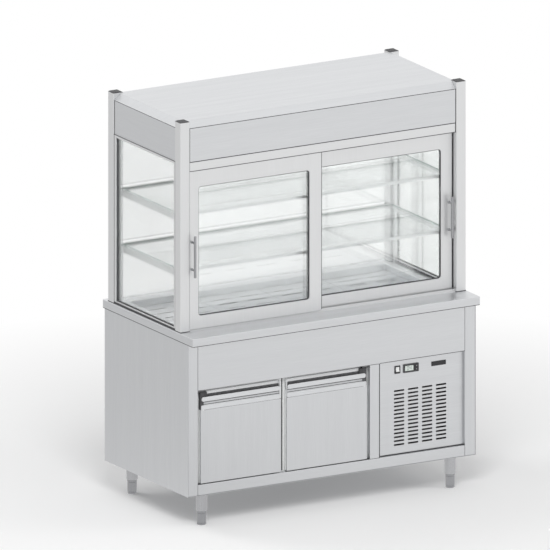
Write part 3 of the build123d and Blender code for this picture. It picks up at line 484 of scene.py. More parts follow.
def brushed(name, colour, along, roughness=(0.3, 0.44), shade=0.9, relief=0.12):
    """Satin metal with its grain along one axis: fine scratches, a finer relief and faint broad bands, all stretched
    that way."""
    scales = [[fine] * along + [long] + [fine] * (2 - along) for fine, long in (scratches, hairs, bands)]
    return finish(name, colour, shade, roughness, *scales, metallic=1.0, relief=relief, along=along)


def clear(name, colour, alpha, ior, smears=0.02):
    """Clear sheet: it refracts, part of the light goes straight through, and faint smears vary its gloss."""
    made, tree, shader = shaded(name)
    for key, value in {"Transmission Weight": 1.0, "IOR": ior, "Alpha": alpha}.items():
        shader.inputs[key].default_value = value
    wiped = noise(tree, (7.0, 7.0, 3.0), 3.0, 1.2)
    tree.links.new(between(tree, wiped, 0.0, smears), shader.inputs["Roughness"])
    pale = tuple(min(1.0, 0.03 + c) for c in colour)
    tree.links.new(blended(tree, between(tree, wiped, 0.0, 1.0), colour, pale), shader.inputs["Base Color"])
    return made


steel_colour = (0.74, 0.75, 0.765)
steel_across = brushed("brushed_steel_across", steel_colour, X)
steel_upright = brushed("brushed_steel_upright", steel_colour, Z)
steel_polished = brushed("polished_steel", (0.64, 0.645, 0.66), Z, (0.12, 0.2), 0.9, 0.05)
leg_steel = brushed("leg_steel", (0.56, 0.565, 0.58), Z, (0.24, 0.36), 0.85, 0.08)
handle_steel = brushed("handle_steel", (0.42, 0.425, 0.44), Z, (0.16, 0.26), 0.85, 0.05)
aluminium_colour = (0.8, 0.805, 0.81)
aluminium_across = brushed("anodised_across", aluminium_colour, X, (0.36, 0.46), 0.95, 0.06)
aluminium_upright = brushed("anodised_upright", aluminium_colour, Z, (0.36, 0.46), 0.95, 0.06)
grip_grey = finish("grip_moulding", (0.6, 0.61, 0.625), 0.93, (0.36, 0.48), (9, 260, 260), 900,
                   relief=0.1, wear=(0.74, 0.745, 0.75))
glass = clear("clear_glass", (0.93, 0.97, 0.955), 0.42, 1.5)
acrylic = clear("clear_acrylic", (0.96, 0.98, 0.985), 0.38, 1.49, 0.05)
glass_edge = finish("glass_edge", (0.36, 0.58, 0.5), 0.8, (0.08, 0.2), 40, 300, Transmission_Weight=0.5, Alpha=0.85)
liner_white = finish("liner_enamel", (0.86, 0.87, 0.87), 0.95, (0.34, 0.48), 30, 500)
foam = finish("foam_board", (0.84, 0.77, 0.57), 0.86, (0.8, 0.95), 160, 600, relief=0.5)
black_plastic = finish("moulded_black", (0.028, 0.028, 0.031), 0.7, (0.42, 0.58), 90, 1400,
                       relief=0.3, wear=(0.16, 0.16, 0.165))
gloss_black = finish("glossy_black", (0.02, 0.02, 0.023), 0.8, (0.1, 0.2), 60, 400, relief=0.04)
rubber = finish("grey_rubber", (0.075, 0.075, 0.08), 0.75, (0.6, 0.8), 140, 900, relief=0.35)
seal_rubber = finish("seal_rubber", (0.3, 0.3, 0.31), 0.85, (0.55, 0.7), 140, 900, relief=0.25)
wire = finish("chromed_wire", (0.78, 0.78, 0.8), 0.9, (0.08, 0.2), 80, 300, metallic=1.0, relief=0.03)
bracket_paint = finish("bracket_paint", (0.03, 0.03, 0.033), 0.7, (0.34, 0.5), 120, 700,
                       relief=0.2, wear=(0.35, 0.35, 0.36))
pot_paint = finish("pot_paint", (0.016, 0.016, 0.018), 0.8, (0.25, 0.42), 70, 350, relief=0.3, wear=(0.3, 0.3, 0.3))
fins = finish("coil_fins", (0.76, 0.77, 0.78), 0.85, (0.3, 0.5), (200, 200, 40), 900, metallic=1.0)
galvanised = finish("galvanised_sheet", (0.62, 0.64, 0.66), 0.78, (0.38, 0.62), 38, 500, metallic=0.9)
copper = finish("copper_pipe", (0.76, 0.4, 0.27), 0.72, (0.22, 0.42), 30, 500, metallic=1.0)
fan_plastic = finish("fan_plastic", (0.04, 0.04, 0.045), 0.8, (0.4, 0.55), 90, 900)
light_plastic = finish("light_plastic", (0.78, 0.79, 0.78), 0.94, (0.25, 0.36), 90, 900, relief=0.08)
print_grey = finish("print_grey", (0.09, 0.09, 0.1), 0.85, (0.5, 0.6), 90, 900)
opal = finish("opal_diffuser", (0.93, 0.93, 0.9), 0.97, (0.3, 0.4), 60, 500, relief=0.05,
              Emission_Color=(1.0, 0.98, 0.94, 1.0), Emission_Strength=0.6)
display_pale = finish("display_pale", (0.62, 0.68, 0.64), 0.96, (0.12, 0.2), 90, 900, relief=0.0)


def dress(material, *nodes):
    """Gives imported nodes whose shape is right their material."""
    for name in nodes:
        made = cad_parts[name]
        if not made.material_slots:
            made.data.materials.append(material)
        for place in made.material_slots:
            place.material = material


# The base

left, right, front, back, basin_low, work_height = span("worktop")
under_top = work_height - top_fold
bay_left, bay_right, panel_face, _, rail_top, fascia_bottom = span("unit_panel")
bay_left, bay_right = bay_left - panel_gap, bay_right + panel_gap
rail_top, fascia_bottom = rail_top - panel_gap, fascia_bottom + panel_gap


def worktop():
    """The top sheet and the basin in one section: up the folded edge, over the top, down the well's coved wall to the
    drain, and back along the underside. A dark joint runs round under the folded edge."""
    x0, x1, y0, y1, _, _ = span("base_plates")
    well = (x0 - 1 * mm, x1 + 1 * mm, y0 - 2 * mm, y1 + 2 * mm, well_corner)
    hole = disc(middle_across(span("drain_pipe"), Z), drain_radius)
    shapes = [(left, right, front, back, top_corner), well, hole]
    top, floor, s = work_height, basin_low + sheet, sheet
    rim = under_top + joint_line
    section = [(0, 0, rim)] + bend(0, top_edge, top - top_edge, top_edge, 0, 90)
    section += bend(1, -well_edge, top - well_edge, well_edge, 90, 180)
    section += bend(1, well_cove, floor + well_cove, well_cove, 0, -90, 5)
    section += [(2, 0, floor), (2, 0, floor - s)]
    section += bend(1, well_cove, floor + well_cove, well_cove + s, -90, 0, 5)
    section += bend(1, -well_edge, top - well_edge, well_edge - s, 180, 90)
    section += bend(0, top_edge, top - top_edge, top_edge - s, 90, 0) + [(0, s, rim)]
    surfaces = [carried(Z, shapes, section, closed=True)]
    ledge, drop = 14 * mm, 30 * mm
    z1 = top - drop - sheet
    for low, high in ((well[2], well[2] + ledge), (well[3] - ledge, well[3])):
        surfaces.append(slab(Z, (well[0], well[1], low, high, 1 * mm), z1 - sheet, z1, 0.4 * mm))
    piece("worktop_sheet", surfaces, steel_across, replaces=["worktop"])
    outer, inner, lap = 0.7 * mm, 12 * mm, 0.2 * mm
    profile = [(0, outer, under_top), (0, outer, rim + lap), (0, inner, rim + lap), (0, inner, under_top)]
    piece("worktop_joint", [carried(Z, shapes[:1], profile, closed=True)], rubber)


def front_frame():
    """Five folded sheets: two stiles over the full height, the pillar, the bottom rail and the fascia."""
    cupboard_left = span("left_door_panel")[0] - door_side_gap
    pillar_left = span("right_door_panel")[1] + door_side_gap
    x0, x1, y, _, z0, z1 = span("front_frame")
    stiles = [(x0, cupboard_left, z0, z1), (bay_right, x1, z0, z1), (pillar_left, bay_left, rail_top, fascia_bottom)]
    rails = [(cupboard_left, bay_right, z0, rail_top), (cupboard_left, bay_right, fascia_bottom, z1)]
    for name, sheets, material, replaced in (
        ("front_stiles", stiles, steel_upright, ["front_frame"]),
        ("front_rails", rails, steel_across, []),
    ):
        surfaces = [pan(Y, within(shape, seam, 0.8 * mm), y, y + frame_run) for shape in sheets]
        piece(name, surfaces, material, replaces=replaced)


def door(side):
    """A cupboard door: steel skin, black hinge block, white leaf with the inner plug, and the pivot pins' bores."""
    body = f"{side}_door"
    x0, x1, y0, y1, z0, z1 = span(f"{side}_door_panel")
    low = span(f"{side}_door_grip")[4]
    rear = y0 + door_thickness
    skin = pan(Y, (x0, x1, z0, low - seam, 2 * mm), y0, y0 + skin_run, 2 * mm, skin_wall)
    piece(f"{side}_door_skin", [skin], steel_upright, body, [f"{side}_door_panel"])
    if side == "left":
        p0, p1, pin = x0, x0 + pivot_width, x0 + pivot_place[0]
        a0, a1 = p1, x1
        lower_block, lower_leaf = (p0 + skin_wall, p1), (p1, x1 - skin_wall)
    else:
        p0, p1, pin = x1 - pivot_width, x1, x1 - pivot_place[0]
        a0, a1 = x0, p0
        lower_block, lower_leaf = (p0, p1 - skin_wall), (x0 + skin_wall, p0)
    hole, w = disc((pin, y0 + pivot_place[1]), pivot_bore), skin_wall
    lower = [(*lower_block, y0 + w, rear, 0.5 * mm), hole]
    upper = [(p0, p1, y0 + grip_face, rear - 0.2 * mm, 1 * mm), hole]
    column = [(0, 0, low), (0, 0, z0 + w), (1, 0, z0 + w), (1, 0, z0 + pivot_depth)]
    pocket = y0 + 17 * mm
    cap_steps = [(0, 0, low)] + bend(0, 0.8 * mm, z1 - 0.8 * mm, 0.8 * mm, 0, 90)
    cap_steps += [(1, 0, z1), (1, 0, z1 - pivot_depth)]
    lip_top = z1 - 24 * mm
    b0, b1 = (p1 - 1 * mm, p1 + pivot_width) if side == "left" else (p0 - pivot_width, p0 + 1 * mm)
    cover = (b0, b1, y0 + grip_face + 1 * mm, y0 + 15.5 * mm, 1.5 * mm)
    caps = [carried(Z, upper, cap_steps), slab(Z, cover, lip_top + 1 * mm, z1 - 0.3 * mm, 0.8 * mm)]
    piece(f"{side}_hinge_block", caps, black_plastic, body)
    surfaces = [
        carried(Z, lower, column),
        slab(Y, (*lower_leaf, z0 + w, low, 1 * mm), y0 + w, rear, 0.5 * mm),
        slab(Y, (a0, a1, low, z1, 1 * mm), pocket, rear, 0.4 * mm),
    ]
    plug = within((x0, x1, z0, z1), plug_inset, 14 * mm)
    steps = [(0, 0, rear - 1 * mm), (0, 0, rear + 4 * mm)] + bend(0, 8 * mm, y1 - 6 * mm, 6 * mm, 0, 90)
    surfaces.append(carried(Y, [plug], steps))
    piece(f"{side}_door_leaf", surfaces, liner_white, body)


def grip(side):
    """The full-width grip: a lip with rounded ends before a finger channel, a groove, and a lower band. Black strips
    of painted shade darken the channel and the groove's two edges, and a dark joint runs under the band."""
    body = f"{side}_door"
    x0, x1 = span(f"{side}_door_panel")[:2]
    y0, y1, band_low, z1 = span(f"{side}_door_grip")[2:]
    band_top = band_low + grip_band
    lip_low = band_top + grip_groove
    lip_top = lip_low + grip_lip
    a0, a1 = x0 + grip_end, x1 - grip_end
    face, wall = y0 + grip_face, y1 - 1.5 * mm
    flush, top, lip_floor = face - 0.5 * mm, z1 - 1 * mm, lip_low + 3 * mm
    if side == "left":
        c0, c1 = x0 + pivot_width, x1 - sheet
        d0, d1 = c0, c1 - grip_end
    else:
        c0, c1 = x0 + sheet, x1 - pivot_width
        d0, d1 = c0 + grip_end, c1
    lip = bend(0, 1.6 * mm, y0 + 1.6 * mm, 1.6 * mm, -90, 0) + bend(0, 1.2 * mm, face - 1.2 * mm, 1.2 * mm, 0, 90)
    band = (a0 - 3 * mm, a1 + 3 * mm, band_low, band_top, grip_round / 2)
    cove = 3.5 * mm
    hook = [(wall, top), (wall + 0.4 * mm, z1), (y1, z1), (y1, lip_low), (flush, lip_low), (flush, lip_floor)]
    hook += arc((wall - cove, lip_floor + cove), cove, -90, 0)
    groove = face + 6 * mm
    lower = [(y1, lip_low), (y1, band_low), (flush, band_low + 0.5 * mm), (flush, band_top - 1 * mm)]
    lower += [(face + 0.5 * mm, band_top)] + arc((groove - 2 * mm, band_top + 2 * mm), 2 * mm, -90, 0, 3)
    lower += arc((groove - 2 * mm, lip_low - 2 * mm), 2 * mm, 0, 90, 3)
    round_top = 10 * mm
    cheek = [(y1, band_low), (y1, top), (face + round_top, top)]
    cheek += arc((face + round_top, top - round_top), round_top, 90, 180)
    cheek += [(face, lip_low), (face + 5 * mm, lip_low - 3 * mm), (face + 5 * mm, band_top + 3 * mm)]
    cheek += [(face, band_top), (face, band_low)]
    cheek0, cheek1 = (c1 - 3.5 * mm, c1) if side == "left" else (c0, c0 + 3.5 * mm)
    surfaces = [
        drawn(X, cheek, cheek0, cheek1),
        carried(Y, [(a0, a1, lip_low, lip_top, grip_round)], lip),
        slab(Y, band, y0, face, 1.4 * mm),
        drawn(X, hook, c0, c1),
        drawn(X, lower, d0, d1),
    ]
    piece(f"{side}_grip", surfaces, grip_grey, body, [f"{side}_door_grip"], sharp=30)
    # Black strips of painted shade: one over the finger channel's wall, and two at the groove's edges where the lip's
    # shade falls. The strip under the band is a dark joint.
    skin = 0.8 * mm
    channel_shade = [(wall, lip_top + 11 * mm), (wall - skin, lip_top + 10 * mm)]
    channel_shade += arc((wall - cove, lip_floor + cove), cove - skin, 0, -90)
    under, start = lip_low + 2.5 * mm, face + 0.2 * mm
    channel_shade += [(start, lip_floor + skin), (start, under), (wall, under)]
    shade_and_joint_strips = [drawn(X, channel_shade, c0, c1)]
    # The groove's two dark lines are painted shade. The upper one lies just below the part of the groove that the lip
    # hides.
    line, sight, edge = 2.4 * mm, 3.2 * mm, 0.3 * mm
    for low in (band_top + 0.6 * mm, lip_low - sight - line):
        shape = (groove - 0.8 * mm, groove + 0.5 * mm, low, low + line, edge)
        shade_and_joint_strips.append(slab(X, shape, d0, d1, edge))
    # A dark joint under the band, where it meets the door's skin.
    shape = (c0, c1, band_low - 1.4 * mm, band_low + 1 * mm, edge)
    shade_and_joint_strips.append(slab(Y, shape, y0 + 0.8 * mm, face, edge))
    piece(f"{side}_grip_shade_and_joint", shade_and_joint_strips, black_plastic, body, sharp=30)


def door_seal(side):
    """The magnetic seal: a ring with a fold on each side and a rounded face to the cupboard."""
    x0, x1, y0, y1, z0, z1 = span(f"{side}_door_gasket")
    fold = 1.6 * mm
    outer = (x0, x1, z0, z1, 5 * mm)
    inner = within(outer, 12 * mm, 3 * mm)
    section = [(0, 0, y0), (0, 0, y0 + 1.0 * mm), (0, fold, y0 + 1.7 * mm), (0, 0, y0 + 2.4 * mm)]
    section += bend(0, 1 * mm, y1 - 1 * mm, 1 * mm, 0, 90) + bend(1, -1 * mm, y1 - 1 * mm, 1 * mm, 90, 180)
    section += [(1, 0, y0 + 2.4 * mm), (1, -fold, y0 + 1.7 * mm), (1, 0, y0 + 1.0 * mm), (1, 0, y0)]
    seal = carried(Y, [outer, inner], section, closed=True)
    piece(f"{side}_door_seal", [seal], seal_rubber, f"{side}_door", [f"{side}_door_gasket"])


def cell_shelves():
    """Wire shelves: a bent ring of round bar, cross wires, and two stays under them."""
    bar, thin, corner = 4 * mm, 2 * mm, 14 * mm
    surfaces = []
    for x0, x1, y0, y1, z0, z1 in solids("cell_shelves"):
        turns = outline(within((x0, x1, y0, y1), bar, corner), 0)
        middle = (z0 + z1) / 2
        path = np.column_stack([turns, np.full(len(turns), middle)])
        surfaces.append(tube(path, bar, (0, 0, 1), closed=True))
        xs = np.linspace(x0 + bar, x1 - bar, cross_wires + 2)[1:-1]
        surfaces.append(rods(Y, [(x, middle + thin) for x in xs], y0 + bar, y1 - bar, thin))
        ys = [y0 + share * (y1 - y0) for share in stay_shares]
        surfaces.append(rods(X, [(y, middle - thin) for y in ys], x0 + bar, x1 - bar, thin))
    piece("wire_shelves", surfaces, wire, replaces=["cell_shelves"])


# Controls on the unit panel

def switch():
    """The bezel with its box, and the two-lobed rocker on its axle, tipped to its off side."""
    x0, x1, y0, y1, z0, z1 = span("switch_housing")
    plane = y0 + 3 * mm
    outer = (x0, x1, z0, z1, 3 * mm)
    box, inner = within(outer, 4 * mm, 1 * mm), within(outer, 6 * mm, 1.5 * mm)
    well = [(0, 0, y1), (0, 0, plane), (1, 0, plane), (1, 0, y1 - 2 * mm)]
    surfaces = [ring(Y, outer, inner, y0, plane, 1.1 * mm), carried(Y, [box, inner], well)]
    piece("switch_bezel", surfaces, black_plastic, replaces=["switch_housing"])

    r0, r1 = span("switch_rocker")[:2]
    pin = 1.5 * mm
    half = (z1 - z0) / 2 - 8 * mm
    pivot_y, middle = plane + 8 * mm, (z0 + z1) / 2
    face = [(-13 * mm, half), (-11 * mm, half * 0.5), (-10 * mm, 0), (-11 * mm, -half * 0.5), (-13 * mm, -half)]
    back_edge = [(2 * mm, -half * 0.6), (2 * mm, half * 0.6)]
    tip = math.radians(-9)
    turn = np.array([[math.cos(tip), -math.sin(tip)], [math.sin(tip), math.cos(tip)]])
    shape = (np.array(face + back_edge) @ turn.T) + (pivot_y, middle)
    body_part = drawn(X, shape, r0 + pin, r1 - pin)
    axle = rods(X, [(pivot_y, middle)], r0, r1, pin, 16)
    piece("rocker_cap", [body_part, axle], light_plastic, "rocker", ["switch_rocker"], sharp=50)


def key_cap(way):
    """A key with a domed face, and the small arrow printed on it."""
    name = f"controller_key_{way}"
    x0, x1, y0, y1, z0, z1 = span(name)
    steps = [(0, 3.2 * mm, y0), (0, 1.4 * mm, y0 + 0.25 * mm)] + bend(0, 0.8 * mm, y0 + 1.2 * mm, 0.8 * mm, -60, 0)
    cap = carried(Y, [(x0, x1, z0, z1, 2.2 * mm)], steps + [(0, 0, y1)])
    piece(f"key_{way}_cap", [cap], rubber, f"key_{way}", [name])
    u, v = (x0 + x1) / 2, (z0 + z1) / 2
    sign = 1 if way == "up" else -1
    reach, foot = 1.7 * mm, v - sign * 1.1 * mm
    arrow = [(u - reach, foot), (u + reach, foot), (u, v + sign * reach)]
    mark = drawn(Y, arrow, y0 - 0.05 * mm, y0 + 0.3 * mm)
    piece(f"key_{way}_mark", [mark], light_plastic, f"key_{way}")


def digit(x, z, width, height, lit, y):
    """A seven-part number: three level and four upright bars, those that are lit."""
    bar, half = 1.5 * mm, height / 2
    rise = bar * 0.7
    level = [(x + rise, x + width - rise, k, k + bar) for k in (z, z + half - bar / 2, z + height - bar)]
    sides, feet = (x, x + width - bar), (z + rise, z + half + rise)
    upright = [(a, a + bar, b, b + half - 2 * rise) for a in sides for b in feet]
    parts = dict(zip("dgaecfb", level + [upright[0], upright[2], upright[1], upright[3]]))
    return [slab(Y, (*parts[k], 0.4 * mm), y - 0.25 * mm, y + 0.1 * mm, 0.1 * mm) for k in lit]


def controller():
    """The pale display sunk in the case, with two numbers on it, and the dark plate beside it."""
    x0, x1, y0, _, z0, z1 = span("controller_case")
    d0, d1, middle = x0 + 8 * mm, x1 - 28 * mm, (z0 + z1) / 2
    face = y0 + 1 * mm
    shape = (d0, d1, middle - 12 * mm, middle + 12 * mm, 1 * mm)
    piece("controller_display", [slab(Y, shape, face - 0.35 * mm, face + 0.2 * mm, 0.1 * mm)], display_pale)
    width, height = 9.5 * mm, 17 * mm
    start = (d0 + d1) / 2 - width - 1.5 * mm
    numbers = []
    for x, lit in ((start, "abcdef"), (start + width + 3 * mm, "bcfg")):
        numbers += digit(x, middle - height / 2, width, height, lit, face - 0.3 * mm)
    piece("display_numbers", numbers, print_grey)
    dress(black_plastic, "controller_case")
    b0, b1, c0, c1, e0, e1 = span("blank_plate")
    piece("bare_plate", [slab(Y, (b0, b1, e0, e1, 2.5 * mm), c0, c1, 0.45 * mm)], gloss_black,
          replaces=["blank_plate"])


# Legs

def legs():
    """Turned leg tubes with their flanges, and feet with an adjusting ring, a taper and a rounded sole."""
    sleeves = []
    for box in solids("leg_sleeves"):
        x0, x1, _, _, z0, z1 = box
        flange = (x1 - x0) / 2
        r = flange - flange_run
        plate, collar = z1 - 6 * mm, z1 - 4 * mm
        profile = [(sleeve_bore, plate), (sleeve_bore, z0), (r - 1 * mm, z0), (r, z0 + 1 * mm), (r, plate)]
        profile += [(r + 2 * mm, collar), (flange - 1 * mm, collar), (flange, z1 - 3 * mm), (flange, z1)]
        profile += [(0, z1), (0, plate)]
        sleeves.append(turned(Z, middle_across(box, Z), profile, closed=True))
    piece("leg_tubes", sleeves, leg_steel, replaces=["leg_sleeves"])
    joint = span("leg_sleeves")[4]
    sole_edge = 4.5 * mm
    for name, body in (("front_left", "fl"), ("front_right", "fr"), ("back_left", "bl"), ("back_right", "br")):
        box = span(f"foot_{name}")
        r, z0, z1 = (box[1] - box[0]) / 2, box[4], box[5]
        profile = [(0, z0)]
        for a in np.linspace(0, 1.4, 6):
            profile.append((r - 6 * mm + sole_edge * math.sin(a), z0 + sole_edge * (1 - math.cos(a))))
        grooves = [(1.2 * mm, 8 * mm), (2.4 * mm, 9 * mm), (2.4 * mm, 11 * mm), (1.1 * mm, 12 * mm)]
        grooves += [(0.4 * mm, joint - 12 * mm), (1.6 * mm, joint - 11 * mm), (1.6 * mm, joint - 9 * mm)]
        grooves += [(0, joint - 8 * mm), (0, z1 - 1 * mm), (1 * mm, z1)]
        profile += [(r - inset, height) for inset, height in grooves] + [(0, z1)]
        foot = turned(Z, middle_across(box, Z), profile)
        piece(f"{name}_foot", [foot], handle_steel, f"foot_{body}", [f"foot_{name}"])


# The upper display

canopy_base = span("canopy_ceiling")[4]


def post_caps():
    """Moulded caps: a plug in the tube, a rim, and four bevels up to a flat."""
    caps = []
    for x0, x1, y0, y1, z0, z1 in solids("post_caps"):
        rim = z1 - 5 * mm
        plug = 2.5 * mm
        steps = [(0, plug + 1 * mm, z0), (0, plug, z0 + 1 * mm), (0, plug, rim), (0, 0.4 * mm, rim)]
        steps += [(0, 0, rim + 0.4 * mm), (0, 0.2 * mm, rim + 1.2 * mm)]
        steps += [(0, 6.6 * mm, z1 - 0.3 * mm), (0, 8 * mm, z1)]
        caps.append(carried(Z, [(x0, x1, y0, y1, 4 * mm)], steps))
    piece("moulded_caps", caps, black_plastic, replaces=["post_caps"], sharp=25)


def window_seal(axis, shape, low, high):
    """A thin dark ring that stands a little proud on both faces of a pane, inside its frame."""
    inner = within(shape, gasket_line, max(shape[4] - gasket_line, 0.5 * mm))
    return ring(axis, shape, inner, low, high, 0.5 * mm)


def sliding_door(which, stiles):
    """A frame with a rounded window, dark buffers along its two edges, its seal, the pane, and the upright bar handle
    on two stand-offs."""
    body = f"{which}_slide"
    x0, x1, y0, y1, z0, z1 = span(f"{which}_slide_frame")
    window = (x0 + stiles[0], x1 - stiles[1], z0 + slide_bottom, z1 - slide_top, window_corner)
    middle = (y0 + y1) / 2
    slot_top, slot_half, lap = z0 + guide_slot, 2.5 * mm, 2 * mm
    a0, a1 = x0 + joint_line, x1 - joint_line
    surfaces = [ring(Y, (a0, a1, slot_top, z1, 1.5 * mm), window, y0, y1, 1.2 * mm)]
    for low, high in ((y0 + 0.2 * mm, middle - slot_half), (middle + slot_half, y1 - 0.2 * mm)):
        surfaces.append(slab(Z, (a0 + seam, a1 - seam, low, high, 0.8 * mm), z0, slot_top + lap, 0.5 * mm))
    buffers = [slab(Z, (low, high, y0 + 0.3 * mm, y1 - 0.3 * mm, 1.4 * mm), slot_top, z1 - 0.5 * mm, 0.6 * mm)
               for low, high in ((x0, a0 + 0.5 * mm), (a1 - 0.5 * mm, x1))]
    piece(f"{which}_door_buffers", buffers, rubber, body)
    piece(f"{which}_door_frame", surfaces, aluminium_upright, body, [f"{which}_slide_frame"])
    low, high, proud, lip = middle - pane / 2, middle + pane / 2, 2 * mm, 9 * mm
    seal = window_seal(Y, window, low - proud, high + proud)
    piece(f"{which}_door_seal_line", [seal], rubber, body)
    sheet_of_glass = slab(Y, within(window, -lip, 3 * mm), low, high, 0.8 * mm)
    made = piece(f"{which}_door_pane", [sheet_of_glass], glass, body, [f"{which}_slide_glass"])
    polished_edges(made, Y)

    h0, h1, front_y, back_y, c0, c1 = span(f"{which}_slide_handle")
    radius = (h1 - h0) / 2
    centre = ((h0 + h1) / 2, front_y + radius)
    surfaces = [turned(Z, centre, dome(radius, c0, c1), steps=24)]
    stem, collar, foot = 4.2 * mm, 6.4 * mm, back_y - 0.2 * mm
    profile = [(0, centre[1]), (stem, centre[1]), (stem, back_y - 3.2 * mm), (stem + 0.8 * mm, back_y - 2.2 * mm)]
    profile += [(collar, back_y - 1.6 * mm), (collar, foot), (0, foot)]
    spread = (c1 - c0) * screw_share / 2
    for level in ((c0 + c1) / 2 - spread, (c0 + c1) / 2 + spread):
        surfaces.append(turned(Y, (centre[0], level), profile, steps=24))
    piece(f"{which}_pull", surfaces, handle_steel, body, [f"{which}_slide_handle"])


def side_panes():
    """The two fixed side frames with their panes. Each has a seal round its window and one under its foot."""
    left0, right1, y0, y1, z0, z1 = span("side_glass_frames")
    frames, seals, panes = [], [], []
    base, proud = z0 + 3 * joint_line, 2.5 * mm
    for x0, x1 in ((left0, left0 + side_depth), (right1 - side_depth, right1)):
        window = (y0 + side_bar, y1 - side_back_bar, z0 + side_bar, z1 - side_bar, 2 * mm)
        frames.append(ring(X, (y0, y1, base, z1, 1.2 * mm), window, x0, x1, 1 * mm))
        seals.append(slab(Z, (x0 + joint_stand, x1 - joint_stand, y0, y1, 1 * mm), z0, base + 0.2 * mm, 0.4 * mm))
        low, high = (x0 + x1 - pane) / 2, (x0 + x1 + pane) / 2
        seals.append(window_seal(X, window, low - proud, high + proud))
        panes.append(slab(X, window, low, high, 0.8 * mm))
    piece("side_frames", frames, aluminium_upright, replaces=["side_glass_frames"])
    piece("side_seals", seals, rubber)
    made = piece("side_panes", panes, glass, replaces=["side_glass"])
    polished_edges(made, X)


def dark_joints_and_shade():
    """Narrow dark joints in the seams that the drawing shows: where the panels, the header and the side frames meet
    the posts, under the roof and the canopy, and at the posts' feet. Round the unit panel the strips are painted
    shade of its reveal, the one at the panel's foot also lying in its joint. Beside the left cupboard door a strip of
    painted shade lies on the cold cell's face. Each stands a little proud of the sheet beside it."""
    posts = solids("posts")
    inner0, inner1 = min(box[1] for box in posts), max(box[0] for box in posts)
    near, far = min(box[3] for box in posts), max(box[2] for box in posts)
    sheet0, sheet1, sheet_front, sheet_back, low, high = span("canopy_panels")
    frame0, frame1 = span("side_glass_frames")[:2]
    header_front, header_low = span("door_tracks")[2], canopy_base - header_height
    frame_face, cell_face = span("front_frame")[2], span("cold_cell")[2]
    door_edge, door_face = span("left_door_panel")[1:3]
    w, d = joint_line, 1 * mm

    def ahead(plane, stand=joint_stand):
        """The depth of a strip on a face that looks to the front or the left."""
        return plane - stand, plane + d

    def behind(plane):
        """The depth of a strip on a face that looks to the back or the right."""
        return plane - d, plane + joint_stand

    across, along = (inner0, inner1), (near, far)
    header, sheets = ahead(header_front), (ahead(sheet_front), behind(sheet_back))
    flanks, frames = (ahead(sheet0), behind(sheet1)), (ahead(frame0), behind(frame1))
    strips = []
    for sides in ((inner0, inner0 + w), (inner1 - w, inner1)):
        strips += [(*sides, *depth, low, high) for depth in sheets] + [(*sides, *header, header_low, low)]
    for depths in ((near, near + w), (far - w, far)):
        strips += [(*side, *depths, low, high) for side in flanks]
        strips += [(*side, *depths, work_height, low) for side in frames]
    strips += [(*across, *header, *levels) for levels in ((low - 1.5 * w, low), (header_low, header_low + w))]
    strips += [(*across, *depth, high - w, high) for depth in sheets]
    strips += [(*side, *along, high - w, high) for side in flanks]
    strips += [(*side, *along, low - w, low) for side in frames]
    # Painted shade of the recessed unit panel's reveal: a dark strip along the panel's foot, which also lies in its
    # joint with the bottom rail, and two strips on the frame's face beside and over the bay.
    floor = rail_top + panel_gap
    strips.append((bay_left + d, bay_right - d, *ahead(panel_face, 2 * joint_stand), floor, floor + w))
    bay_side_shade, bay_top_shade = (bay_left - 1.5 * w, bay_left - seam), (bay_left, bay_right - seam)
    strips.append((*bay_side_shade, *ahead(frame_face), rail_top + seam, fascia_bottom - seam))
    strips.append((*bay_top_shade, *ahead(frame_face), fascia_bottom + seam, fascia_bottom + w))
    # A dark strip of painted shade on the cold cell's face, placed where the view sees it right beside the left
    # cupboard door's edge.
    door_gap_shade = door_edge + (cell_face - door_face) * math.tan(view_turn)
    strips.append((door_gap_shade, door_gap_shade + 2 * w, *ahead(cell_face), rail_top + w, fascia_bottom - 2 * w))
    surfaces = [drawn(Z, [(x0, y0), (x1, y0), (x1, y1), (x0, y1)], z0, z1) for x0, x1, y0, y1, z0, z1 in strips]
    for post in posts:
        outer, inner = within(post, -joint_stand, 2 * mm), within(post, d, 1 * mm)
        surfaces.append(ring(Z, outer, inner, work_height, work_height + w, 0.3 * mm))
    # One piece: the dark joints, and the strips of painted shade round the unit panel and beside the left cupboard
    # door.
    piece("dark_joints_and_shade", surfaces, rubber)


def display_shelves():
    """Two glass shelves with polished edges."""
    shelves = solids("display_shelves")
    surfaces = [slab(Z, (x0, x1, y0, y1, 3 * mm), z0, z1, 1.2 * mm) for x0, x1, y0, y1, z0, z1 in shelves]
    made = piece("glass_shelves", surfaces, glass, replaces=["display_shelves"])
    polished_edges(made, Z)


def flap(which, body):
    """A clear flap: a round bead on pins, a pane, and a lip that curves out at the bottom."""
    x0, x1, y0, y1, z0, z1 = span(f"{which}_flap")
    bead, half_pane, inset, curve, lip = 5 * mm, 2.5 * mm, 8 * mm, 7 * mm, 2 * mm
    axis_y, axis_z = y0 + bead, z1 - bead
    half_neck = math.degrees(math.asin(half_pane / bead))
    shape = arc((axis_y, axis_z), bead, -90 + half_neck, 270 - half_neck, 16)
    shape += arc((axis_y - half_pane + curve, z0 + curve), curve, 180, 270, 6)
    shape += arc((y1 - lip, z0 + lip), lip, -90, 90, 6)
    shape += arc((axis_y + half_pane + curve, z0 + 1 * mm + curve), curve - 3 * mm, 270, 180, 5)
    clear_part = drawn(X, shape, x0 + inset, x1 - inset)
    piece(f"{which}_flap_pane", [clear_part], acrylic, body, [f"{which}_flap"])
    pins = [rods(X, [(axis_y, axis_z)], a, b, 3 * mm, 20) for a, b in ((x0, x0 + inset), (x1 - inset, x1))]
    piece(f"{which}_flap_pins", pins, steel_polished, body)


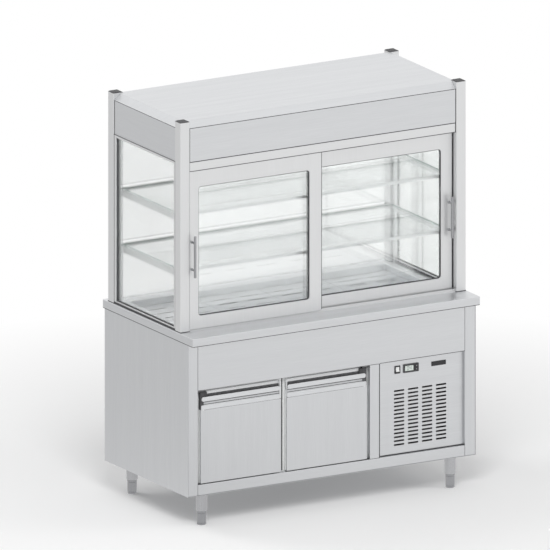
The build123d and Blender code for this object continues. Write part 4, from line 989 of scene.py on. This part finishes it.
def lamp():
    """The long light: a drawn aluminium channel, a rounded opal cover and two end caps."""
    x0, x1, y0, y1, z0, z1 = span("lamp")
    cap, edge = 6 * mm, 2 * mm
    middle, half = (y0 + y1) / 2, (y1 - y0) / 2
    neck = z1 - 6 * mm
    channel = [(y0, neck), (y1, neck), (y1, z1), (y0, z1)]
    steps = np.linspace(0, math.pi, 17)
    cover = [(middle + (half - edge) * math.cos(a), neck - (neck - z0) * math.sin(a) ** 0.8) for a in steps]
    end = cover[::-1] + [(y1 - edge / 2, z1), (y0 + edge / 2, z1)]
    piece("lamp_channel", [drawn(X, channel, x0 + cap, x1 - cap)], aluminium_across,
          replaces=["lamp"])
    piece("lamp_cover", [drawn(X, cover, x0 + cap, x1 - cap)], opal)
    ends = [drawn(X, end, x0, x0 + cap), drawn(X, end, x1 - cap, x1)]
    piece("lamp_ends", ends, light_plastic)


# Cooling parts

def coil(x0, x1, y0, y1, z0, z1, foot, fin_pitch, rows):
    """Fins between two end plates, level pipes through them, and return bends at both ends."""
    places = np.arange(x0 + fin_pitch, x1 - fin_pitch / 2, fin_pitch)
    surfaces = [plates(X, places, fin, y0, y1, z0, z1)]
    surfaces.append(plates(X, [x0 - end_plate, x1], end_plate, y0, y1, z0 - foot, z1 + 2 * mm))
    levels = np.linspace(z0, z1, rows + 2)[1:-1]
    depths = [y0 + 0.25 * (y1 - y0), y0 + 0.75 * (y1 - y0)]
    radius, overrun = 4 * mm, 3 * mm
    pipes = [rods(X, [(y, z) for y in depths for z in levels], x0 - overrun, x1 + overrun, radius)]
    turn = np.linspace(-math.pi / 2, math.pi / 2, 9)
    for y in depths:
        for number, (low, high) in enumerate(zip(levels, levels[1:])):
            way, end = (1, x1 + overrun) if number % 2 else (-1, x0 - overrun)
            level, rise = (low + high) / 2, (high - low) / 2
            reach = way * min(rise, 8 * mm)
            path = [(end + reach * math.cos(a), y, level + rise * math.sin(a)) for a in turn]
            pipes.append(tube(path, radius, (0, 1, 0), steps=8))
    return surfaces, pipes


def coils():
    """The condenser in the unit bay, and the coils of the canopy and of the cold cell."""
    overhang, foot = 12 * mm, condenser_foot
    x0, x1, y0, y1, z0, z1 = span("condenser")
    made, pipes = coil(x0 + overhang, x1 - overhang, y0, y1, z0 + foot, z1 - 2 * mm, foot, 3 * mm, 8)
    piece("condenser_fins", made, fins, replaces=["condenser"])
    piece("condenser_pipes", pipes, copper)
    foot, pitch = evaporator_foot, 5 * mm
    fin_surfaces, pipe_surfaces = [], []
    for x0, x1, y0, y1, z0, z1 in solids("evaporator_coils"):
        if z0 > work_height:
            made, pipes = coil(x0 + overhang, x1 - overhang, y0, y1, z0 + foot, z1 - 2 * mm, foot, pitch, 3)
        else:
            made, pipes = coil(x0 + 2 * mm, x1 - 2 * mm, y0, y1, z0, z1 - 6 * mm, 0, pitch, 2)
        fin_surfaces += made
        pipe_surfaces += pipes
    piece("evaporator_fins", fin_surfaces, fins, replaces=["evaporator_coils"])
    piece("evaporator_pipes", pipe_surfaces, copper)


def fan(name, node_name, body, axis):
    """A hub with bevelled ends and swept blades. Along a blade the chord narrows at the tip and its pitch eases
    from the root outwards, and two skins lie half a blade's thickness either side."""
    box = span(node_name)
    first, second = others(axis)
    u, v = middle_across(box, axis)
    radius = (box[2 * first + 1] - box[2 * first]) / 2
    middle = (box[2 * axis] + box[2 * axis + 1]) / 2
    half = (box[2 * axis + 1] - box[2 * axis]) * depth_share
    hub, bore, bevel = hub_share * radius, 4.1 * mm, 2 * mm
    low, high = middle - half, middle + half
    profile = [(bore, low), (hub - bevel, low), (hub, low + bevel)]
    profile += [(hub, high - bevel), (hub - bevel, high), (bore, high)]
    surfaces = [turned(axis, (u, v), profile, closed=True)]
    reach = np.linspace(hub * 0.95, radius * 0.985, 10)
    share = (reach - reach[0]) / (reach[-1] - reach[0])
    chord = np.linspace(-1, 1, 13)
    sweep = tip_sweep * share ** 2
    spread = (root_spread - tip_narrowing * share) * np.sqrt(1 - 0.35 * share ** 4)
    pitch = half * (0.95 - 0.35 * share)
    angle = sweep[:, None] + spread[:, None] * chord[None, :]
    rise = pitch[:, None] * (chord - 0.25 * (1 - chord ** 2))[None, :] * 0.9
    skin = 0.9 * mm * np.sqrt(np.clip(1 - chord ** 2, 0.02, 1))[None, :]
    for number in range(blades):
        turn = angle + number * 2 * math.pi / blades
        grid = np.empty((2, len(reach), len(chord), 3))
        grid[..., first] = u + reach[:, None] * np.cos(turn)
        grid[..., second] = v + reach[:, None] * np.sin(turn)
        grid[..., axis] = middle + rise + np.array([1, -1])[:, None, None] * skin
        surfaces.append(lofted(np.concatenate([grid[0], grid[1][:, ::-1]], axis=1)))
    piece(name, surfaces, fan_plastic, body, [node_name], sharp=45)


def stage():
    """A pale floor that keeps the shadow, the even sky, the lamps, and the camera of the drawing's parallel view."""
    reach = 15.0
    corners = [(-reach, -reach, 0), (reach, -reach, 0), (reach, reach, 0), (-reach, reach, 0)]
    mesh = bpy.data.meshes.new("floor")
    mesh.from_pydata(corners, [], [(0, 1, 2, 3)])
    floor = placed("floor", mesh)
    made, tree, shader = shaded("pale_floor")
    shader.inputs["Base Color"].default_value = (0.93, 0.93, 0.93, 1)
    shader.inputs["Roughness"].default_value = 0.9
    shader.inputs["Specular IOR Level"].default_value = 0.1
    place = node(tree, "ShaderNodeTexCoord").outputs["Object"]
    away = node(tree, "ShaderNodeVectorMath", {0: place}, operation="LENGTH").outputs["Value"]
    far = ranged(tree, away, 1.1, 3.2)
    white = node(tree, "ShaderNodeEmission", {"Color": (1, 1, 1, 1), "Strength": 1.0}).outputs[0]
    ground = node(tree, "ShaderNodeMixShader", {0: far, 1: shader.outputs[0], 2: white}).outputs[0]
    across = node(tree, "ShaderNodeVectorMath", {0: place, 1: (0.5, -0.85, 0.0)}, operation="DOT_PRODUCT")
    tone = ranged(tree, across.outputs["Value"], -2.5, 2.5, 0.66, 0.9)
    glow = node(tree, "ShaderNodeEmission", {"Color": (1, 1, 1, 1), "Strength": tone}).outputs[0]
    path = node(tree, "ShaderNodeLightPath")
    mirrored = node(tree, "ShaderNodeMixShader", {0: path.outputs["Is Glossy Ray"], 1: ground, 2: glow}).outputs[0]
    through = node(tree, "ShaderNodeMixShader", {0: path.outputs["Is Transmission Ray"], 1: mirrored, 2: white})
    tree.links.new(through.outputs[0], tree.nodes["Material Output"].inputs["Surface"])
    mesh.materials.append(made)

    world = bpy.data.worlds.new("studio")
    bpy.context.scene.world = world
    world.use_nodes = True
    tree = world.node_tree
    background = tree.nodes["Background"]
    background.inputs["Color"].default_value = (1, 1, 1, 1)
    path = node(tree, "ShaderNodeLightPath")
    seen = maths(tree, "MAXIMUM", path.outputs["Is Camera Ray"], path.outputs["Is Glossy Ray"])
    seen = maths(tree, "MAXIMUM", seen, path.outputs["Is Transmission Ray"])
    tree.links.new(ranged(tree, seen, low=0.55), background.inputs["Strength"])

    target = np.array((0.0, 0.0, 0.95))
    for name, place, size, power in (
        ("key", (-2.6, -4.6, 5.0), 3.0, 190.0),
        ("fill", (4.6, -3.4, 3.0), 3.0, 60.0),
        ("rim", (-3.0, 4.4, 4.4), 3.0, 80.0),
    ):
        light = bpy.data.lights.new(name, "AREA")
        light.shape = "DISK"
        light.size = size
        light.energy = power
        made = placed(name, light)
        made.location = place
        made.visible_glossy = False
        way = Vector(target - np.array(place))
        made.rotation_euler = way.to_track_quat("-Z", "Y").to_euler()

    level = math.cos(view_drop)
    look = Vector((math.sin(view_turn) * level, math.cos(view_turn) * level, -math.sin(view_drop)))
    camera_data = bpy.data.cameras.new("camera")
    camera_data.type = "ORTHO"
    camera_data.ortho_scale = view_width
    camera = placed("camera", camera_data)
    camera.location = Vector(view_aim) - 8 * look
    camera.rotation_euler = look.to_track_quat("-Z", "Y").to_euler()
    bpy.context.scene.camera = camera
    bpy.context.scene.view_settings.view_transform = "Standard"


stage()
worktop()
front_frame()
for side in ("left", "right"):
    door(side)
    grip(side)
    door_seal(side)
cell_shelves()
switch()
key_cap("up")
key_cap("down")
controller()
legs()
post_caps()
sliding_door("front", front_stiles)
sliding_door("rear", rear_stiles)
side_panes()
dark_joints_and_shade()
display_shelves()
for which, body in (("lower", "flap_low"), ("middle", "flap_mid"), ("upper", "flap_high")):
    flap(which, body)
lamp()
coils()
fan("condenser_blades", "condenser_fan", "fan_condenser", Y)
fan("evaporator_blades", "evaporator_fan", "fan_evaporator", Z)

dress(steel_across, "customer_panel", "base_plates", "unit_panel", "roof_panel", "canopy_panels", "shelf_runners")
dress(steel_upright, "cabinet_shell", "drain_pipe")
dress(aluminium_upright, "posts", "shelf_frame")
dress(aluminium_across, "door_tracks")
dress(liner_white, "cold_cell", "canopy_ceiling")
dress(foam, "insulation_boards")
dress(bracket_paint, "hinge_brackets")
dress(black_plastic, "flap_bushes", "cable_gland")
dress(pot_paint, "compressor", "fan_motors")
dress(rubber, "compressor_mounts")
dress(galvanised, "fan_shroud")
dress(copper, "refrigerant_lines")
